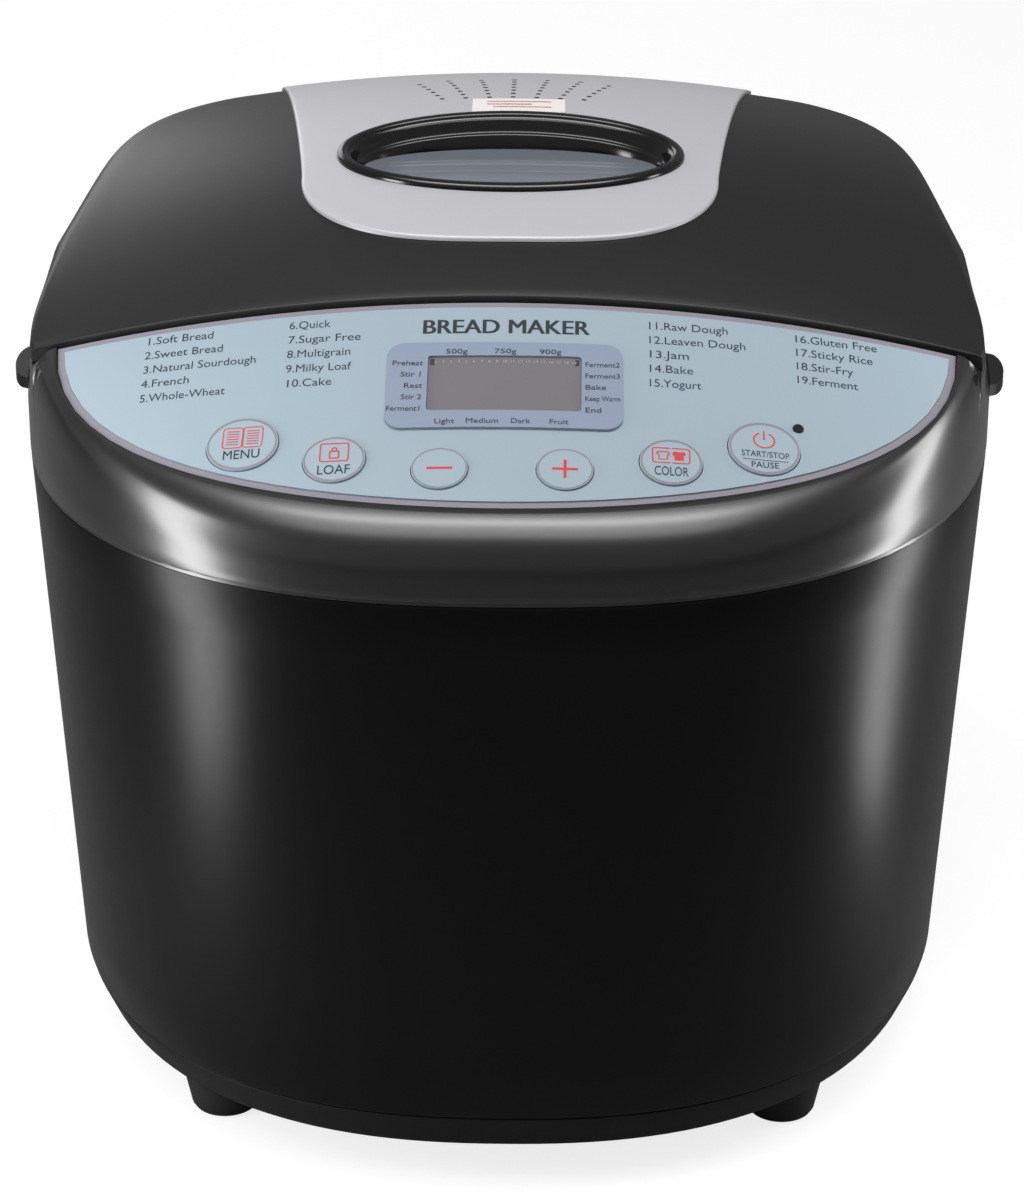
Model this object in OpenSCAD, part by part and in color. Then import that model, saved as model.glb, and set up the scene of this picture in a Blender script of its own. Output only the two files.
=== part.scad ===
// Bread machine: domed lid with a window, sloped control panel, lift-out pan
// and belt-driven kneading paddle. Millimetres, origin on the counter under the
// middle of the housing, +X to the user's right, +Y to the back, +Z up.

/* [Overall] */
// Width of the housing without its side handles
body_w = 290; // [240:1:350]
// Depth of the housing, front to back
body_d = 314; // [260:1:380]
// Height of the lid's crest above the counter, under the window's rim
body_h = 270; // [225:1:325]

/* [Housing] */
// Wall thickness of the mouldings
wall = 2.6; // [2:0.1:3.4]
// Height of the feet
foot_h = 12.8; // [8:0.2:18]
// Height of the base ring above the feet
ring_h = 11.6; // [8:0.2:16]
// How squarely the plan bulges (2 is an ellipse)
plan_n = 2.44; // [2:0.01:3.2]
// Slope of the control panel, degrees
slope = 22.7; // [15:0.1:30]
// Radius of the side-to-side crown
crown_r = 552; // [400:1:800]
// How far each side handle stands out
ear_out = 4.4; // [3:0.2:8]

/* [Lid] */
// Half length of the window's flange
win_a = 52.5; // [40:0.5:64]
// Half width of the window's flange
win_b = 27; // [20:0.5:34]
// Depth of the glass below the rim
glass_depth = 5; // [4:0.5:7]
// Gap between the lid and the collar
lid_gap = 1; // [0.6:0.1:2]
// Radius of the hinge pins
pin_r = 2; // [1.5:0.1:3]
// Radial running clearance of every turning fit
run_gap = 0.05; // [0.02:0.01:0.1]

/* [Pan and paddle] */
// Space between the oven wall and the pan's rim
pan_gap = 9; // [7:0.5:16]
// Height of the pan, floor to rim
pan_h = 124; // [90:1:150]
// Radius of the paddle's spindle
spin_r = 4; // [3:0.1:5]
// Reach of the paddle's blade
blade_len = 36; // [25:1:44]

/* [Drive] */
// Radius of the large pulley
big_r = 54; // [40:1:60]
// Radius of the motor's pulley
small_r = 9; // [7:0.5:12]
// Radius of the motor's can
motor_r = 32; // [26:0.5:34]
// Gap between the belt and each pulley
belt_gap = 0.3; // [0.2:0.05:0.5]

/* [Keys] */
// Radius of the two end keys
key_l = 10.1; // [8:0.1:11]
// Radius of the loaf and colour keys
key_m = 8.7; // [7:0.1:9.5]
// Radius of the two time keys
key_s = 7.8; // [6:0.1:8.5]
// How far a key goes down
key_travel = 0.8; // [0.4:0.1:1]
// Gap around each key
key_gap = 0.25; // [0.2:0.05:0.5]

/* [Hidden] */

hw = body_w / 2;
hd = body_d / 2;
kx = hw / 145;
ky = hd / 157;
z_ring = foot_h;
z_shell = foot_h + ring_h;
z_seam = body_h - 79;
z_deck = z_seam + 35;
z_line = z_seam + 55.8;
y_line = -68.4 * ky;
tan_s = tan(slope);
cos_s = cos(slope);
arch = 107.5 * ky;
dpan = 76.3 * ky;
pan_a = 129.4 * kx;
hinge_y = 133 * ky;
hinge_z = z_deck + 10;
pocket_r = 26.8;
pocket_w = 95 * kx;
axis_y = 20 * ky;
oven_x = 100 * kx;
oven_y = 78 * ky;
oven_z = 62;
oven_r = 30;
steel = 1;
liner_z = z_deck + 9;
pan_floor = 84;
heat_gap = 8.2;
pan_top = min(pan_floor + pan_h, z_deck - 18);
pan_x = oven_x - steel - pan_gap;
pan_y = oven_y - steel - pan_gap;
motor_y = axis_y - oven_y - motor_r - 5;
plate_z = 46;
crown_p = crown_r / cos_s;

// Drop of the panel's face at x, and the way up its slope to a plan point
function crown_w(x) = sqrt(crown_p * crown_p - x * x) - crown_p;
function pan_v(p) = (p[1] - y_line + crown_w(p[0]) * sin(slope)) / cos_s;

// Height of the top surface above the counter
function rise(u) = u > 0 ? u - u * u / (2 * arch) : u;
function z_top(p) = z_line + tan_s * rise(p[1] - y_line) - p[0] * p[0] / (2 * crown_r);

// Point of a superellipse at polar angle t, and its outward normal
function se_r(a, b, n, t) =
  pow(pow(abs(cos(t)) / a, n) + pow(abs(sin(t)) / b, n), -1 / n);
function se(a, b, n, t) = se_r(a, b, n, t) * [cos(t), sin(t)];
function unit(v) = v / norm(v);
function se_n(a, b, n, p) = unit([
  sign(p[0]) * pow(abs(p[0]) / a, n - 1) / a,
  sign(p[1]) * pow(abs(p[1]) / b, n - 1) / b]);
function se_x(a, b, n, y) = a * pow(1 - pow(abs(y) / b, n), 1 / n);
function mix(a, b, s) = a + (b - a) * s;
function smooth(s) = let (t = min(1, max(0, s))) t * t * (3 - 2 * t);
function at(p, z) = [p[0], p[1], z];
function bend(a, b, c, s) = mix(mix(a, b, s), mix(b, c, s), s);

// Closed skin through a list of rings, the last joined to the first
module hoop(rings) {
  k = len(rings);
  n = len(rings[0]);
  polyhedron(points = [for (r = rings) each r],
    faces = [for (j = [0:k - 1]) for (i = [0:n - 1])
      let (u = (j + 1) % k, v = (i + 1) % n)
      each [[j * n + i, u * n + i, u * n + v], [j * n + i, u * n + v, j * n + v]]]);
}

// Skin through a list of rings, flat at both ends
module stack(rings) {
  k = len(rings);
  n = len(rings[0]);
  polyhedron(points = [for (r = rings) each r],
    faces = concat([[for (i = [0:n - 1]) i]],
      [for (j = [0:k - 2]) for (i = [0:n - 1]) let (v = (i + 1) % n)
        each [[j * n + i, j * n + n + i, j * n + n + v],
              [j * n + i, j * n + n + v, j * n + v]]],
      [[for (i = [n - 1:-1:0]) (k - 1) * n + i]]));
}

function plan_ring(a, b, n, inset, z, steps = 72) =
  [for (i = [0:steps - 1]) let (p = se(a, b, n, 360 * i / steps))
    at(p - inset * se_n(a, b, n, p), z)];

module tube(r, ri, z0, z1) {
  translate([0, 0, z0]) difference() {
    cylinder(r = r, h = z1 - z0, $fn = 64);
    translate([0, 0, -1]) cylinder(r = ri, h = z1 - z0 + 2, $fn = 64);
  }
}

module rod(r, z0, z1) {
  translate([0, 0, z0]) cylinder(r = r, h = z1 - z0, $fn = 64);
}

module bar_x(r, x0, x1) {
  translate([x0, 0, 0]) rotate([0, 90, 0]) cylinder(r = r, h = x1 - x0, $fn = 48);
}

module round_rect(x, y, r) {
  difference() {
    square([2 * x, 2 * y], center = true);
    for (a = [-1, 1], b = [-1, 1])
      translate([a * (x - r), b * (y - r)]) difference() {
        translate([a > 0 ? 0 : -r - 1, b > 0 ? 0 : -r - 1]) square(r + 1);
        circle(r = r, $fn = 64);
      }
  }
}

module slab_rect(x, y, r, z0, z1) {
  translate([0, 0, z0]) linear_extrude(z1 - z0) round_rect(x, y, r);
}

// ---- Housing -------------------------------------------------------------

shell_a = 135.9 * kx;
shell_b = 150.1 * ky;
post_x = 92 * kx;
post_y = 96 * ky;

module base_tray() {
  color("DimGray") difference() {
    union() {
      stack([plan_ring(130.7 * kx, 146.3 * ky, 2.35, 0, z_ring),
        plan_ring(shell_a, shell_b, 2.35, 0, z_shell),
        plan_ring(shell_a, shell_b, 2.35, wall, z_shell),
        plan_ring(130.7 * kx, 146.3 * ky, 2.35, wall, z_ring + wall)]);
      for (a = [-1, 1], b = [-1, 1])
        translate([a * post_x, b * post_y, 0]) rod(6, z_ring + 1, plate_z);
    }
    for (a = [-1, 1], b = [-1, 1])
      translate([a * post_x, b * post_y, 0]) rod(1.9, z_ring + 6, plate_z + 1);
  }
}

module foot(a, b) {
  color("#202022") translate([a, b, 0]) rotate_extrude($fn = 64)
    polygon([[0, 0], [8, 0], [9.6, 0.7], [10.4, 2], [12.6, z_ring], [0, z_ring]]);
}

module body_shell() {
  color("#161618") difference() {
    hoop([plan_ring(shell_a, shell_b, 2.35, 0, z_shell),
      plan_ring(hw, hd, plan_n, 0, z_seam),
      plan_ring(hw, hd, plan_n, wall, z_seam),
      plan_ring(shell_a, shell_b, 2.35, wall, z_shell)]);
    at_gland() rod(6.5, -10, 10);
  }
}

// Front part of the collar's ring: plan point, way in, and depth to the panel
y_front = y_line - 0.4;
t_front = atan2(y_front, -se_x(hw, hd, plan_n, y_front));
steps_f = 36;
function front_t(i) = mix(t_front, -180 - t_front, i / steps_f);
function front_w(i) = min(1, min(i, steps_f - i) / 5);
function front_dir(p, i) = let (n = se_n(hw, hd, plan_n, p)) unit([-n[0], -n[1] * front_w(i)]);
function ray_in(p, d) = let (q = p - [0, y_line],
    a = pow(d[0] / pan_a, 2) + pow(d[1] / dpan, 2),
    b = 2 * (q[0] * d[0] / pow(pan_a, 2) + q[1] * d[1] / pow(dpan, 2)),
    c = pow(q[0] / pan_a, 2) + pow(q[1] / dpan, 2) - 1)
  (-b - sqrt(b * b - 4 * a * c)) / (2 * a);
front = [for (i = [0:steps_f]) let (p = se(hw, hd, plan_n, front_t(i)),
    d = front_dir(p, i)) [p, d, ray_in(p, d)]];
function panel_ring(e, top) = [for (f = front)
    let (q = f[0] + f[1] * (f[2] + e)) [q[0], min(q[1], top)]];

t_rear = atan2(y_line, se_x(hw, hd, plan_n, y_line));
steps_r = 52;
rear = [for (i = [0:steps_r])
  let (p = se(hw, hd, plan_n, mix(t_rear, 180 - t_rear, i / steps_r)))
  [p, -se_n(hw, hd, plan_n, p)]];

function front_edge(f) = let (p = f[0], q = p + f[1] * f[2], zq = z_top(q),
    k = (zq - z_top(q - f[1] * 2)) / 2, zc = zq - k * f[2])
  [for (s = [0, 0.25, 0.5, 0.75, 1])
    let (v = bend([0, zc - 12], [0, zc], [f[2], zq], s)) at(p + f[1] * v[0], v[1])];
function front_in(f) = let (p = f[0], q = p + f[1] * f[2], zq = z_top(q) - 5,
    zc = z_top(q) - 15) [at(q, zq), at(p + f[1] * (wall + 1), zc - 1),
    at(p + f[1] * wall, z_seam + 4), at(p + f[1] * wall, z_seam)];

// The collar's rim leans in beside the lid: by how much at its top, and at height z
function lean(y) = 5.6 * smooth((y / ky + 64) / 30) * (1 - smooth((y / ky - 12) / 62));
function lean_at(f, z) = f[0] + f[1] * lean(f[0][1]) * max(0, (z - z_deck) / 18 + 1);
function rear_edge(f) = [for (s = [0.2, 0.4, 0.6, 0.8, 1]) let (z = mix(z_seam, z_deck, s))
  at(lean_at(f, z), z)];
function rear_in(f) = [for (s = [0, 0.3, 0.7, 1]) let (z = mix(z_deck, z_seam, s))
  at(lean_at(f, z) + f[1] * wall, z)];
function collar_pt(j) = concat(
  [for (f = front) let (s = concat([at(f[0], z_seam)], front_edge(f), front_in(f))) s[j]],
  [for (f = rear) let (s = concat([at(f[0], z_seam)], rear_edge(f), rear_in(f))) s[j]]);

// Panel coordinates: x along the panel, v up its slope, w out of its crowned face
module on_panel() {
  translate([0, y_line, z_line]) rotate([slope, 0, 0]) children();
}

module on_crown(x, v) {
  translate([0, v, -crown_p]) rotate([0, asin(x / crown_p), 0])
    translate([0, 0, crown_p]) children();
}

module crown_slab(w0, w1) {
  intersection() {
    translate([0, 0, -60]) linear_extrude(100) children();
    translate([0, 30, -crown_p]) rotate([90, 0, 0]) difference() {
      cylinder(r = crown_p + w1, h = 160, $fn = 720);
      translate([0, 0, -1]) cylinder(r = crown_p + w0, h = 162, $fn = 720);
    }
  }
}

module panel_outline(e, top) {
  ring = panel_ring(e, top);
  x = ring[steps_f][0];
  polygon(concat([for (q = ring) [q[0], pan_v(q)]],
    [for (i = [11:-1:-11]) [x * i / 12, pan_v([x * i / 12, top])]]));
}

module oven_hole(e) {
  translate([0, axis_y]) round_rect(oven_x - steel - e, oven_y - steel - e, oven_r - steel - e);
}

module collar() {
  step_w = se_x(hw, hd, plan_n, y_line) - wall / 2;
  step_y = y_line - 0.7;
  color("#1c1c1e") difference() {
    union() {
      hoop([for (j = [0:9]) collar_pt(j)]);
      translate([0, 0, z_deck - 4]) linear_extrude(3.6) difference() {
        polygon(concat([[step_w, step_y - wall / 2]],
          [for (f = rear) f[0] + f[1] * (lean(f[0][1]) + wall / 3)], [[-step_w, step_y - wall / 2]]));
        oven_hole(0);
      }
      translate([0, step_y, 0]) rotate([90, 0, 0]) linear_extrude(wall)
        polygon(concat([for (i = [-12:12]) let (x = step_w * i / 12)
            [x, z_line - 4.4 - x * x / (2 * crown_r)]],
          [[step_w, z_deck - 3], [-step_w, z_deck - 3]]));
      on_panel() crown_slab(-5, -2.6) difference() {
        panel_outline(-1.5, step_y - 0.4);
        panel_outline(1.8, y_line - 6);
      }
      intersection() {
        translate([0, hinge_y, hinge_z])
          bar_x(pocket_r + wall, -pocket_w - wall, pocket_w + wall);
        translate([-hw, hinge_y - 40, z_seam])
          cube([2 * hw, 39 + hd - hinge_y, z_deck - z_seam - 1]);
        translate([0, 0, z_seam]) linear_extrude(50)
          polygon([for (f = rear) f[0] + f[1] * wall / 2]);
      }
    }
    translate([0, hinge_y, hinge_z]) bar_x(pocket_r, -pocket_w, pocket_w);
  }
  color("#1c1c1e") for (a = [-1, 1]) hinge_arm(a);
}

// Arm that reaches back from the deck and holds one hinge pin
module hinge_arm(a) {
  translate([a * 52.2 * kx, 0, 0]) difference() {
    translate([3.7, 0, 0]) rotate([90, 0, -90]) linear_extrude(7.4) union() {
      polygon([[-hinge_y + 1, hinge_z - 4.3], [-hinge_y + 1, hinge_z + 4.3],
        [-hinge_y + 30, hinge_z + 2], [-hinge_y + 34, z_deck - 2],
        [-hinge_y + 25, z_deck - 2], [-hinge_y + 19, hinge_z - 4.6]]);
      translate([-hinge_y, hinge_z]) circle(r = 4.6, $fn = 48);
    }
    translate([0, hinge_y, hinge_z]) bar_x(pin_r, -10, 10);
  }
}

module hinge_pin(a) {
  color("Silver") translate([a * 46 * kx, hinge_y, hinge_z]) bar_x(pin_r, -10.4, 10.4);
}

module ear(a) {
  yc = -21 * ky;
  len_y = 13.5 * ky;
  color("#19191b") translate([0, 0, z_seam + 14.2]) linear_extrude(3.6) polygon(concat(
    [for (i = [0:24]) let (s = i / 12 - 1, y = yc + len_y * s)
      [a * (se_x(hw, hd, plan_n, y) + 0.02 + ear_out * pow(1 - s * s, 0.45)), y]],
    [for (i = [24:-1:0]) let (y = yc + len_y * (i / 12 - 1))
      [a * (se_x(hw, hd, plan_n, y) + 0.02), y]]));
}

// ---- Control panel -------------------------------------------------------

key_y = [-117.5 * ky, -126 * ky, -130.8 * ky];
lcd_v0 = -45.4 * ky;
lcd_v1 = -23.7 * ky;

// Lower end of each key's stem, below the panel's face
stem_w = -9.4;

// Every key: place along x, place along v, radius
function key_pos(x, j, r) = [x * kx, pan_v([x * kx, key_y[j]]), r];
function key_at(name) =
  name == "menu" ? key_pos(-72.2, 0, key_l) :
  name == "loaf" ? key_pos(-46.3, 1, key_m) :
  name == "minus" ? key_pos(-17.2, 2, key_s) :
  name == "plus" ? key_pos(17.2, 2, key_s) :
  name == "color" ? key_pos(46.3, 1, key_m) :
  key_pos(72.2, 0, key_l);
keys = ["menu", "loaf", "minus", "plus", "color", "start"];
led_at = [82 * kx, pan_v([82 * kx, -108.3 * ky])];
posts = [[-74, -28], [74, -28], [-62, -66], [62, -66]];

module key_holes(grow) {
  for (k = keys) let (p = key_at(k)) on_crown(p[0], p[1])
    rod(p[2] + key_gap + grow, -7, 5);
  on_crown(led_at[0], led_at[1]) rod(1.6, -7, 5);
}

module lcd_square(e) {
  translate([0, (lcd_v0 + lcd_v1) / 2]) round_rect(21.5 * kx + e, (lcd_v1 - lcd_v0) / 2 + e, 1);
}

module panel_plate() {
  color("#8f8b96") on_panel() difference() {
    union() {
      crown_slab(-2.4, -0.5) panel_outline(key_gap, y_front);
      for (p = posts) translate([p[0] * kx, p[1] * ky, 0])
        rod(3, -18, crown_w(p[0] * kx) - 1.4);
    }
    key_holes(0);
    translate([0, 0, -20]) linear_extrude(40) lcd_square(1.5);
  }
}

module panel_overlay() {
  color("#afbfc8") on_panel() difference() {
    crown_slab(-0.48, 0) panel_outline(2.4, y_front - 2.2);
    key_holes(0);
    translate([0, 0, -20]) linear_extrude(40) lcd_square(1.5);
  }
}

module lcd_frame() {
  color("#97a3b5") on_panel() difference() {
    union() {
      crown_slab(0.02, 0.9) translate([0, -35.2 * ky]) round_rect(33.1 * kx, 17 * ky, 5);
      crown_slab(-3.4, 0.5) lcd_square(1.4);
    }
    translate([0, 0, -20]) linear_extrude(40) lcd_square(-0.8);
    crown_slab(-0.9, 4) lcd_square(0.1);
  }
}

module lcd_window() {
  color("#7d7a7e") on_panel() crown_slab(-0.88, 0.3) lcd_square(0);
}

module lcd_module() {
  color("#4b6a52") on_panel() slab_lcd();
}

module slab_lcd() {
  translate([0, (lcd_v0 + lcd_v1) / 2, 0])
    slab_rect(25 * kx, 13.5 * ky, 1, -18, -3.9);
}

module led_lens() {
  color("#d86a50") on_panel() on_crown(led_at[0], led_at[1]) union() {
    rod(1.5, -3.2, 0.5);
    rod(2.4, -3.2, -2.6);
  }
}

module control_board() {
  color("#2f6b43") on_panel() union() {
    translate([0, -46.5 * ky, 0]) slab_rect(80 * kx, 25 * ky, 12, -19.6, -18);
    intersection() {
      for (k = keys) let (p = key_at(k)) on_crown(p[0], p[1])
        rod(3, -17, stem_w - 0.2 - key_travel);
      translate([-200, -200, -18.4]) cube([400, 400, 40]);
    }
    for (k = keys) let (p = key_at(k)) translate([p[0], p[1], 0])
      rod(1.6, -18.5, crown_w(p[0]) - 11.6);
  }
}

module key(name) {
  p = key_at(name);
  color("#b7c6ce") on_panel() on_crown(p[0], p[1]) union() {
    rod(p[2], -3.8, 0.55);
    rod(p[2] + 1.3, -5.0, -3.6);
    rod(2.2, stem_w, -4.8);
  }
}

// ---- Oven ----------------------------------------------------------------

module chamber() {
  color("Silver") translate([0, axis_y, 0]) difference() {
    union() {
      slab_rect(oven_x, oven_y, oven_r, oven_z, z_deck - 4.4);
      slab_rect(oven_x + 4, oven_y + 4, oven_r + 4, z_deck - 5, z_deck - 4);
    }
    slab_rect(oven_x - steel, oven_y - steel, oven_r - steel, oven_z + steel, z_deck);
    rod(14, oven_z - 1, oven_z + 3);
    for (a = [-1, 1]) translate([a * 50 * kx, 0, 76]) rotate([90, 0, 0]) rod(3.6, 0, oven_y + 5);
    translate([0, 0, 150]) bar_x(2.8, -oven_x - 5, 0);
  }
}

// Sheathed element: a rounded loop with its two ends taken out at the front
module heater() {
  hx = oven_x - heat_gap;
  hy = oven_y - heat_gap;
  r = 24;
  t = 3.2;
  color("#3a3a3e") translate([0, axis_y, 76]) union() {
    for (a = [-1, 1]) {
      translate([a * hx, -hy + r, 0]) rotate([-90, 0, 0]) cylinder(r = t, h = 2 * (hy - r), $fn = 32);
      translate([a * (hx - r), hy - r, 0]) rotate([0, 0, a > 0 ? 0 : 90])
        rotate_extrude(angle = 90, $fn = 64) translate([r, 0]) circle(r = t, $fn = 32);
      translate([a * (hx - r), -hy + r, 0]) rotate([0, 0, a > 0 ? -90 : 180])
        rotate_extrude(angle = 90, $fn = 64) translate([r, 0]) circle(r = t, $fn = 32);
      translate([a > 0 ? 50 * kx + 8 : -hx + r, -hy, 0]) rotate([0, 90, 0])
        cylinder(r = t, h = hx - r - 50 * kx - 8, $fn = 32);
      translate([a * (50 * kx + 8), -hy - 8, 0]) rotate([0, 0, a > 0 ? 90 : 0])
        rotate_extrude(angle = 90, $fn = 64) translate([8, 0]) circle(r = t, $fn = 32);
      translate([a * 50 * kx, -hy - 8, 0]) rotate([90, 0, 0]) cylinder(r = t, h = 12, $fn = 32);
    }
    translate([0, hy, 0]) bar_x(t, -hx + r, hx - r);
  }
}

module pan_socket() {
  color("#b9babd") translate([0, axis_y, 0]) union() {
    tube(47, 41.2, oven_z + steel, oven_z + 10);
    for (a = [-1, 1]) translate([a * 44, 0, oven_z + 9]) difference() {
      slab_rect(2.6, 9, 1, 0, 12);
      translate([-a * 4.4, 0, -1]) slab_rect(2.6, 12, 1, 0, 14);
    }
  }
}

module sensor() {
  color("Silver") translate([0, axis_y, 150]) union() {
    bar_x(2.5, -oven_x - 12, -oven_x + 6);
    bar_x(6, -oven_x - 3, -oven_x);
  }
}

module thermal_fuse() {
  color("#e7e3d6") translate([oven_x + 4, axis_y, 0]) union() {
    rod(3, 128, 156);
    translate([-2.4, 0, 0]) slab_rect(1.6, 7, 0.4, 134, 150);
  }
}

// ---- Drive ---------------------------------------------------------------

module chassis_plate() {
  color("Silver") difference() {
    union() {
      slab_rect(108 * kx, 108 * ky, 16, plate_z, plate_z + 1.6);
      for (a = [-1, 1], b = [-1, 1]) translate([a * 70 * kx, axis_y + b * 50 * ky, 0])
        rod(5, plate_z, oven_z);
      translate([0, motor_y, 0]) slab_rect(motor_r, motor_r, 8, plate_z, plate_z + 1.6);
    }
    translate([0, axis_y, 0]) rod(9.5, 0, 90);
    translate([0, motor_y, 0]) rod(8, 0, 90);
    for (a = [-1, 1], b = [-1, 1])
      translate([a * post_x, b * post_y, 0]) rod(2, 0, 90);
  }
}

module chassis_screws() {
  color("Silver") for (a = [-1, 1], b = [-1, 1]) translate([a * post_x, b * post_y, 0]) {
    difference() {
      union() {
        rod(1.85, plate_z - 16, plate_z + 2);
        rod(4, plate_z + 1.6, plate_z + 4);
      }
      translate([0, 0, plate_z + 3]) for (r = [0, 90]) rotate([0, 0, r])
        cube([4.4, 0.9, 2.4], center = true);
    }
  }
}

module motor_can() {
  color("#7d8085") translate([0, motor_y, 0]) difference() {
    union() {
      rod(motor_r, plate_z + 1.6, 106);
      rod(10, 106, 110);
    }
    rod(motor_r - 2, plate_z + 9, 103);
    rod(3 + run_gap, 40, 108);
  }
}

module motor_stator() {
  color("#8c4a2c") translate([0, motor_y, 0]) union() {
    tube(motor_r - 2, 0.66 * motor_r, 66, 92);
    tube(0.9 * motor_r, 0.7 * motor_r, 59, 99);
  }
}

module motor_rotor() {
  color("#9a9ca0") translate([0, motor_y, 0]) union() {
    rod(3, 27, 107.6);
    rod(0.6 * motor_r, 64, 94);
  }
}

module motor_pulley() {
  color("#c9c9c4") translate([0, motor_y, 0]) difference() {
    union() {
      rod(small_r, 28, 41);
      rod(small_r + 2.2, 28, 30);
      rod(small_r + 2.2, 40, 42);
    }
    rod(3.01, 20, 50);
  }
}

module drive_pulley() {
  color("#2b2b2e") translate([0, axis_y, 0]) difference() {
    union() {
      tube(big_r, big_r - 6, 31, 40);
      rod(big_r - 5, 34, 37);
      rod(9, 30, 43);
    }
    rod(spin_r + 0.01, 20, 50);
    for (i = [0:5]) rotate([0, 0, 60 * i + 30]) translate([0.56 * big_r, 0, 0]) rod(8.5, 20, 50);
  }
}

module drive_shaft() {
  color("Silver") translate([0, axis_y, 0]) union() {
    rod(spin_r, 27, 67);
    rod(spin_r + 2.2, 27, 29.6);
  }
}

module drive_bearing() {
  color("#b08d57") translate([0, axis_y, 0]) difference() {
    union() {
      rod(9.4, 44, 61);
      rod(16, plate_z + 1.6, plate_z + 5);
    }
    rod(spin_r + run_gap, 40, 70);
  }
}

module drive_coupling() {
  color("#a8a9ad") translate([0, axis_y, 0]) difference() {
    union() {
      rod(7, 62.5, 66);
      rod(15, 65, 68);
      for (a = [0, 180]) rotate([0, 0, a]) intersection() {
        tube(15, 9, 67, 74);
        translate([0, -4.5, 60]) cube([20, 9, 20]);
      }
    }
    rod(spin_r + 0.01, 60, 67.01);
  }
}

// Belt outline: both pulleys at the given gap, joined by the outer tangents
function belt_ring(g) = let (dy = axis_y - motor_y, f = asin((big_r - small_r) / dy))
  concat([for (i = [0:40]) let (t = mix(-f, 180 + f, i / 40))
      [0, axis_y] + (big_r + g) * [cos(t), sin(t)]],
    [for (i = [0:20]) let (t = mix(180 + f, 360 - f, i / 20))
      [0, motor_y] + (small_r + g) * [cos(t), sin(t)]]);

module belt() {
  color("#1d1d1f") translate([0, 0, 32]) linear_extrude(7) difference() {
    polygon(belt_ring(belt_gap + 2));
    polygon(belt_ring(belt_gap));
  }
}

module run_capacitor() {
  color("#d8d5c8") translate([66 * kx, motor_y, 0]) union() {
    slab_rect(11, 17, 3, plate_z + 1.6, 78);
    for (a = [-1, 1]) translate([0, 7 * a, 0]) rod(2, 77, 84);
  }
}

module power_board() {
  y = axis_y + oven_y + 17;
  color("#3b6f4a") translate([-8 * kx, y, 0]) union() {
    translate([0, 0, plate_z + 1.6]) translate([-42 * kx, 0, 0]) cube([84 * kx, 1.6, 56]);
    translate([-30 * kx, -9, 58]) cube([22, 10, 18]);
    translate([4, -12, 56]) cube([26 * kx, 13, 26]);
    translate([-20 * kx, 1.6, 84]) rotate([90, 0, 0]) rod(6, -0.5, 12);
    translate([16 * kx, 1.6, 92]) rotate([90, 0, 0]) rod(4, -0.5, 9);
  }
}

// Cord entry, square to the back wall of the shell
gland_z = 44;
module at_gland() {
  s = (gland_z - z_shell) / (z_seam - z_shell);
  p = se(mix(shell_a, hw, s), mix(shell_b, hd, s), 2.36, 68);
  n = se_n(mix(shell_a, hw, s), mix(shell_b, hd, s), 2.36, p);
  translate([p[0], p[1], gland_z]) rotate([0, 0, atan2(n[1], n[0])]) rotate([0, 90, 0]) children();
}

module cord_gland() {
  color("#202022") at_gland() difference() {
    union() {
      rod(6.3, -12, 1.5);
      rod(10, 0.8, 3);
      rod(8.4, -7, -4.2);
    }
    rod(3.6, -20, 10);
  }
}

// ---- Lid -----------------------------------------------------------------

win_y = 5.7 * ky;
lid_y = y_line + lid_gap;
lid_t = atan2(lid_y, se_x(hw, hd, plan_n, lid_y));
lid_z = z_deck + 0.6;
steps_l = 62;
steps_n = 18;
function lid_inset(y) = max(1.2, 20 * sin(90 * min(1, max(0, (y - y_line) / (106 * ky)))))
  - 5.2 * smooth((y / ky - 105) / 35);
// Lid outline, counter-clockwise: plan point, way in, inset of the top edge
lid_line = concat(
  [for (i = [0:steps_l]) let (p = se(hw, hd, plan_n, mix(lid_t, 180 - lid_t, i / steps_l)))
    let (n = se_n(hw, hd, plan_n, p), l = lean(p[1])) [p - n * l, -n, lid_inset(p[1]) - l]],
  [for (i = [1:steps_n - 1]) let (x = se_x(hw, hd, plan_n, lid_y))
    [[mix(-x, x, i / steps_n), lid_y], [0, 1], 1.2]]);
function lid_edge(f) = f[0] + f[1] * f[2];
function oval(p, a, b) = let (t = atan2((p[1] - win_y) / b, p[0] / a)) [a * cos(t), win_y + b * sin(t)];
function on_top(p, up) = at(p, z_top(p) + up);
function lid_side(f, s) = let (c = min(5, 0.6 * f[2]), e = lid_edge(f), ze = z_top(e),
    knee = f[0] + f[1] * (f[2] - c), zk = mix(lid_z, ze, 0.94 - 0.14 * smooth((f[2] - 1.2) / 6)))
  s <= 1 ? at(mix(f[0], knee, s), mix(lid_z, zk, s)) :
  let (v = bend(at(knee, zk), at(mix(knee, e, 0.45), mix(zk, ze, 0.8)), at(e, ze), s - 1)) v;

module lid_shell() {
  hole = [win_a - 2.3, win_b - 2.3];
  color("#232428") union() {
    hoop(concat(
      [for (s = [0, 0.5, 1, 1.33, 1.66, 2]) [for (f = lid_line) lid_side(f, s)]],
      [for (s = [0.08, 0.2, 0.35, 0.5, 0.65, 0.8, 0.92, 1]) [for (f = lid_line)
        let (e = lid_edge(f)) on_top(mix(e, oval(e, hole[0], hole[1]), s), 0)]],
      [for (s = [1, 0.7, 0.35, 0.06]) [for (f = lid_line)
        let (e = lid_edge(f)) on_top(mix(e, oval(e, hole[0], hole[1]), s), -wall)]],
      [[for (f = lid_line) let (p = f[0] + f[1] * wall) at(p, lid_z)]]));
    for (a = [-1, 1]) lid_knuckle(a);
  }
}

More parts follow.
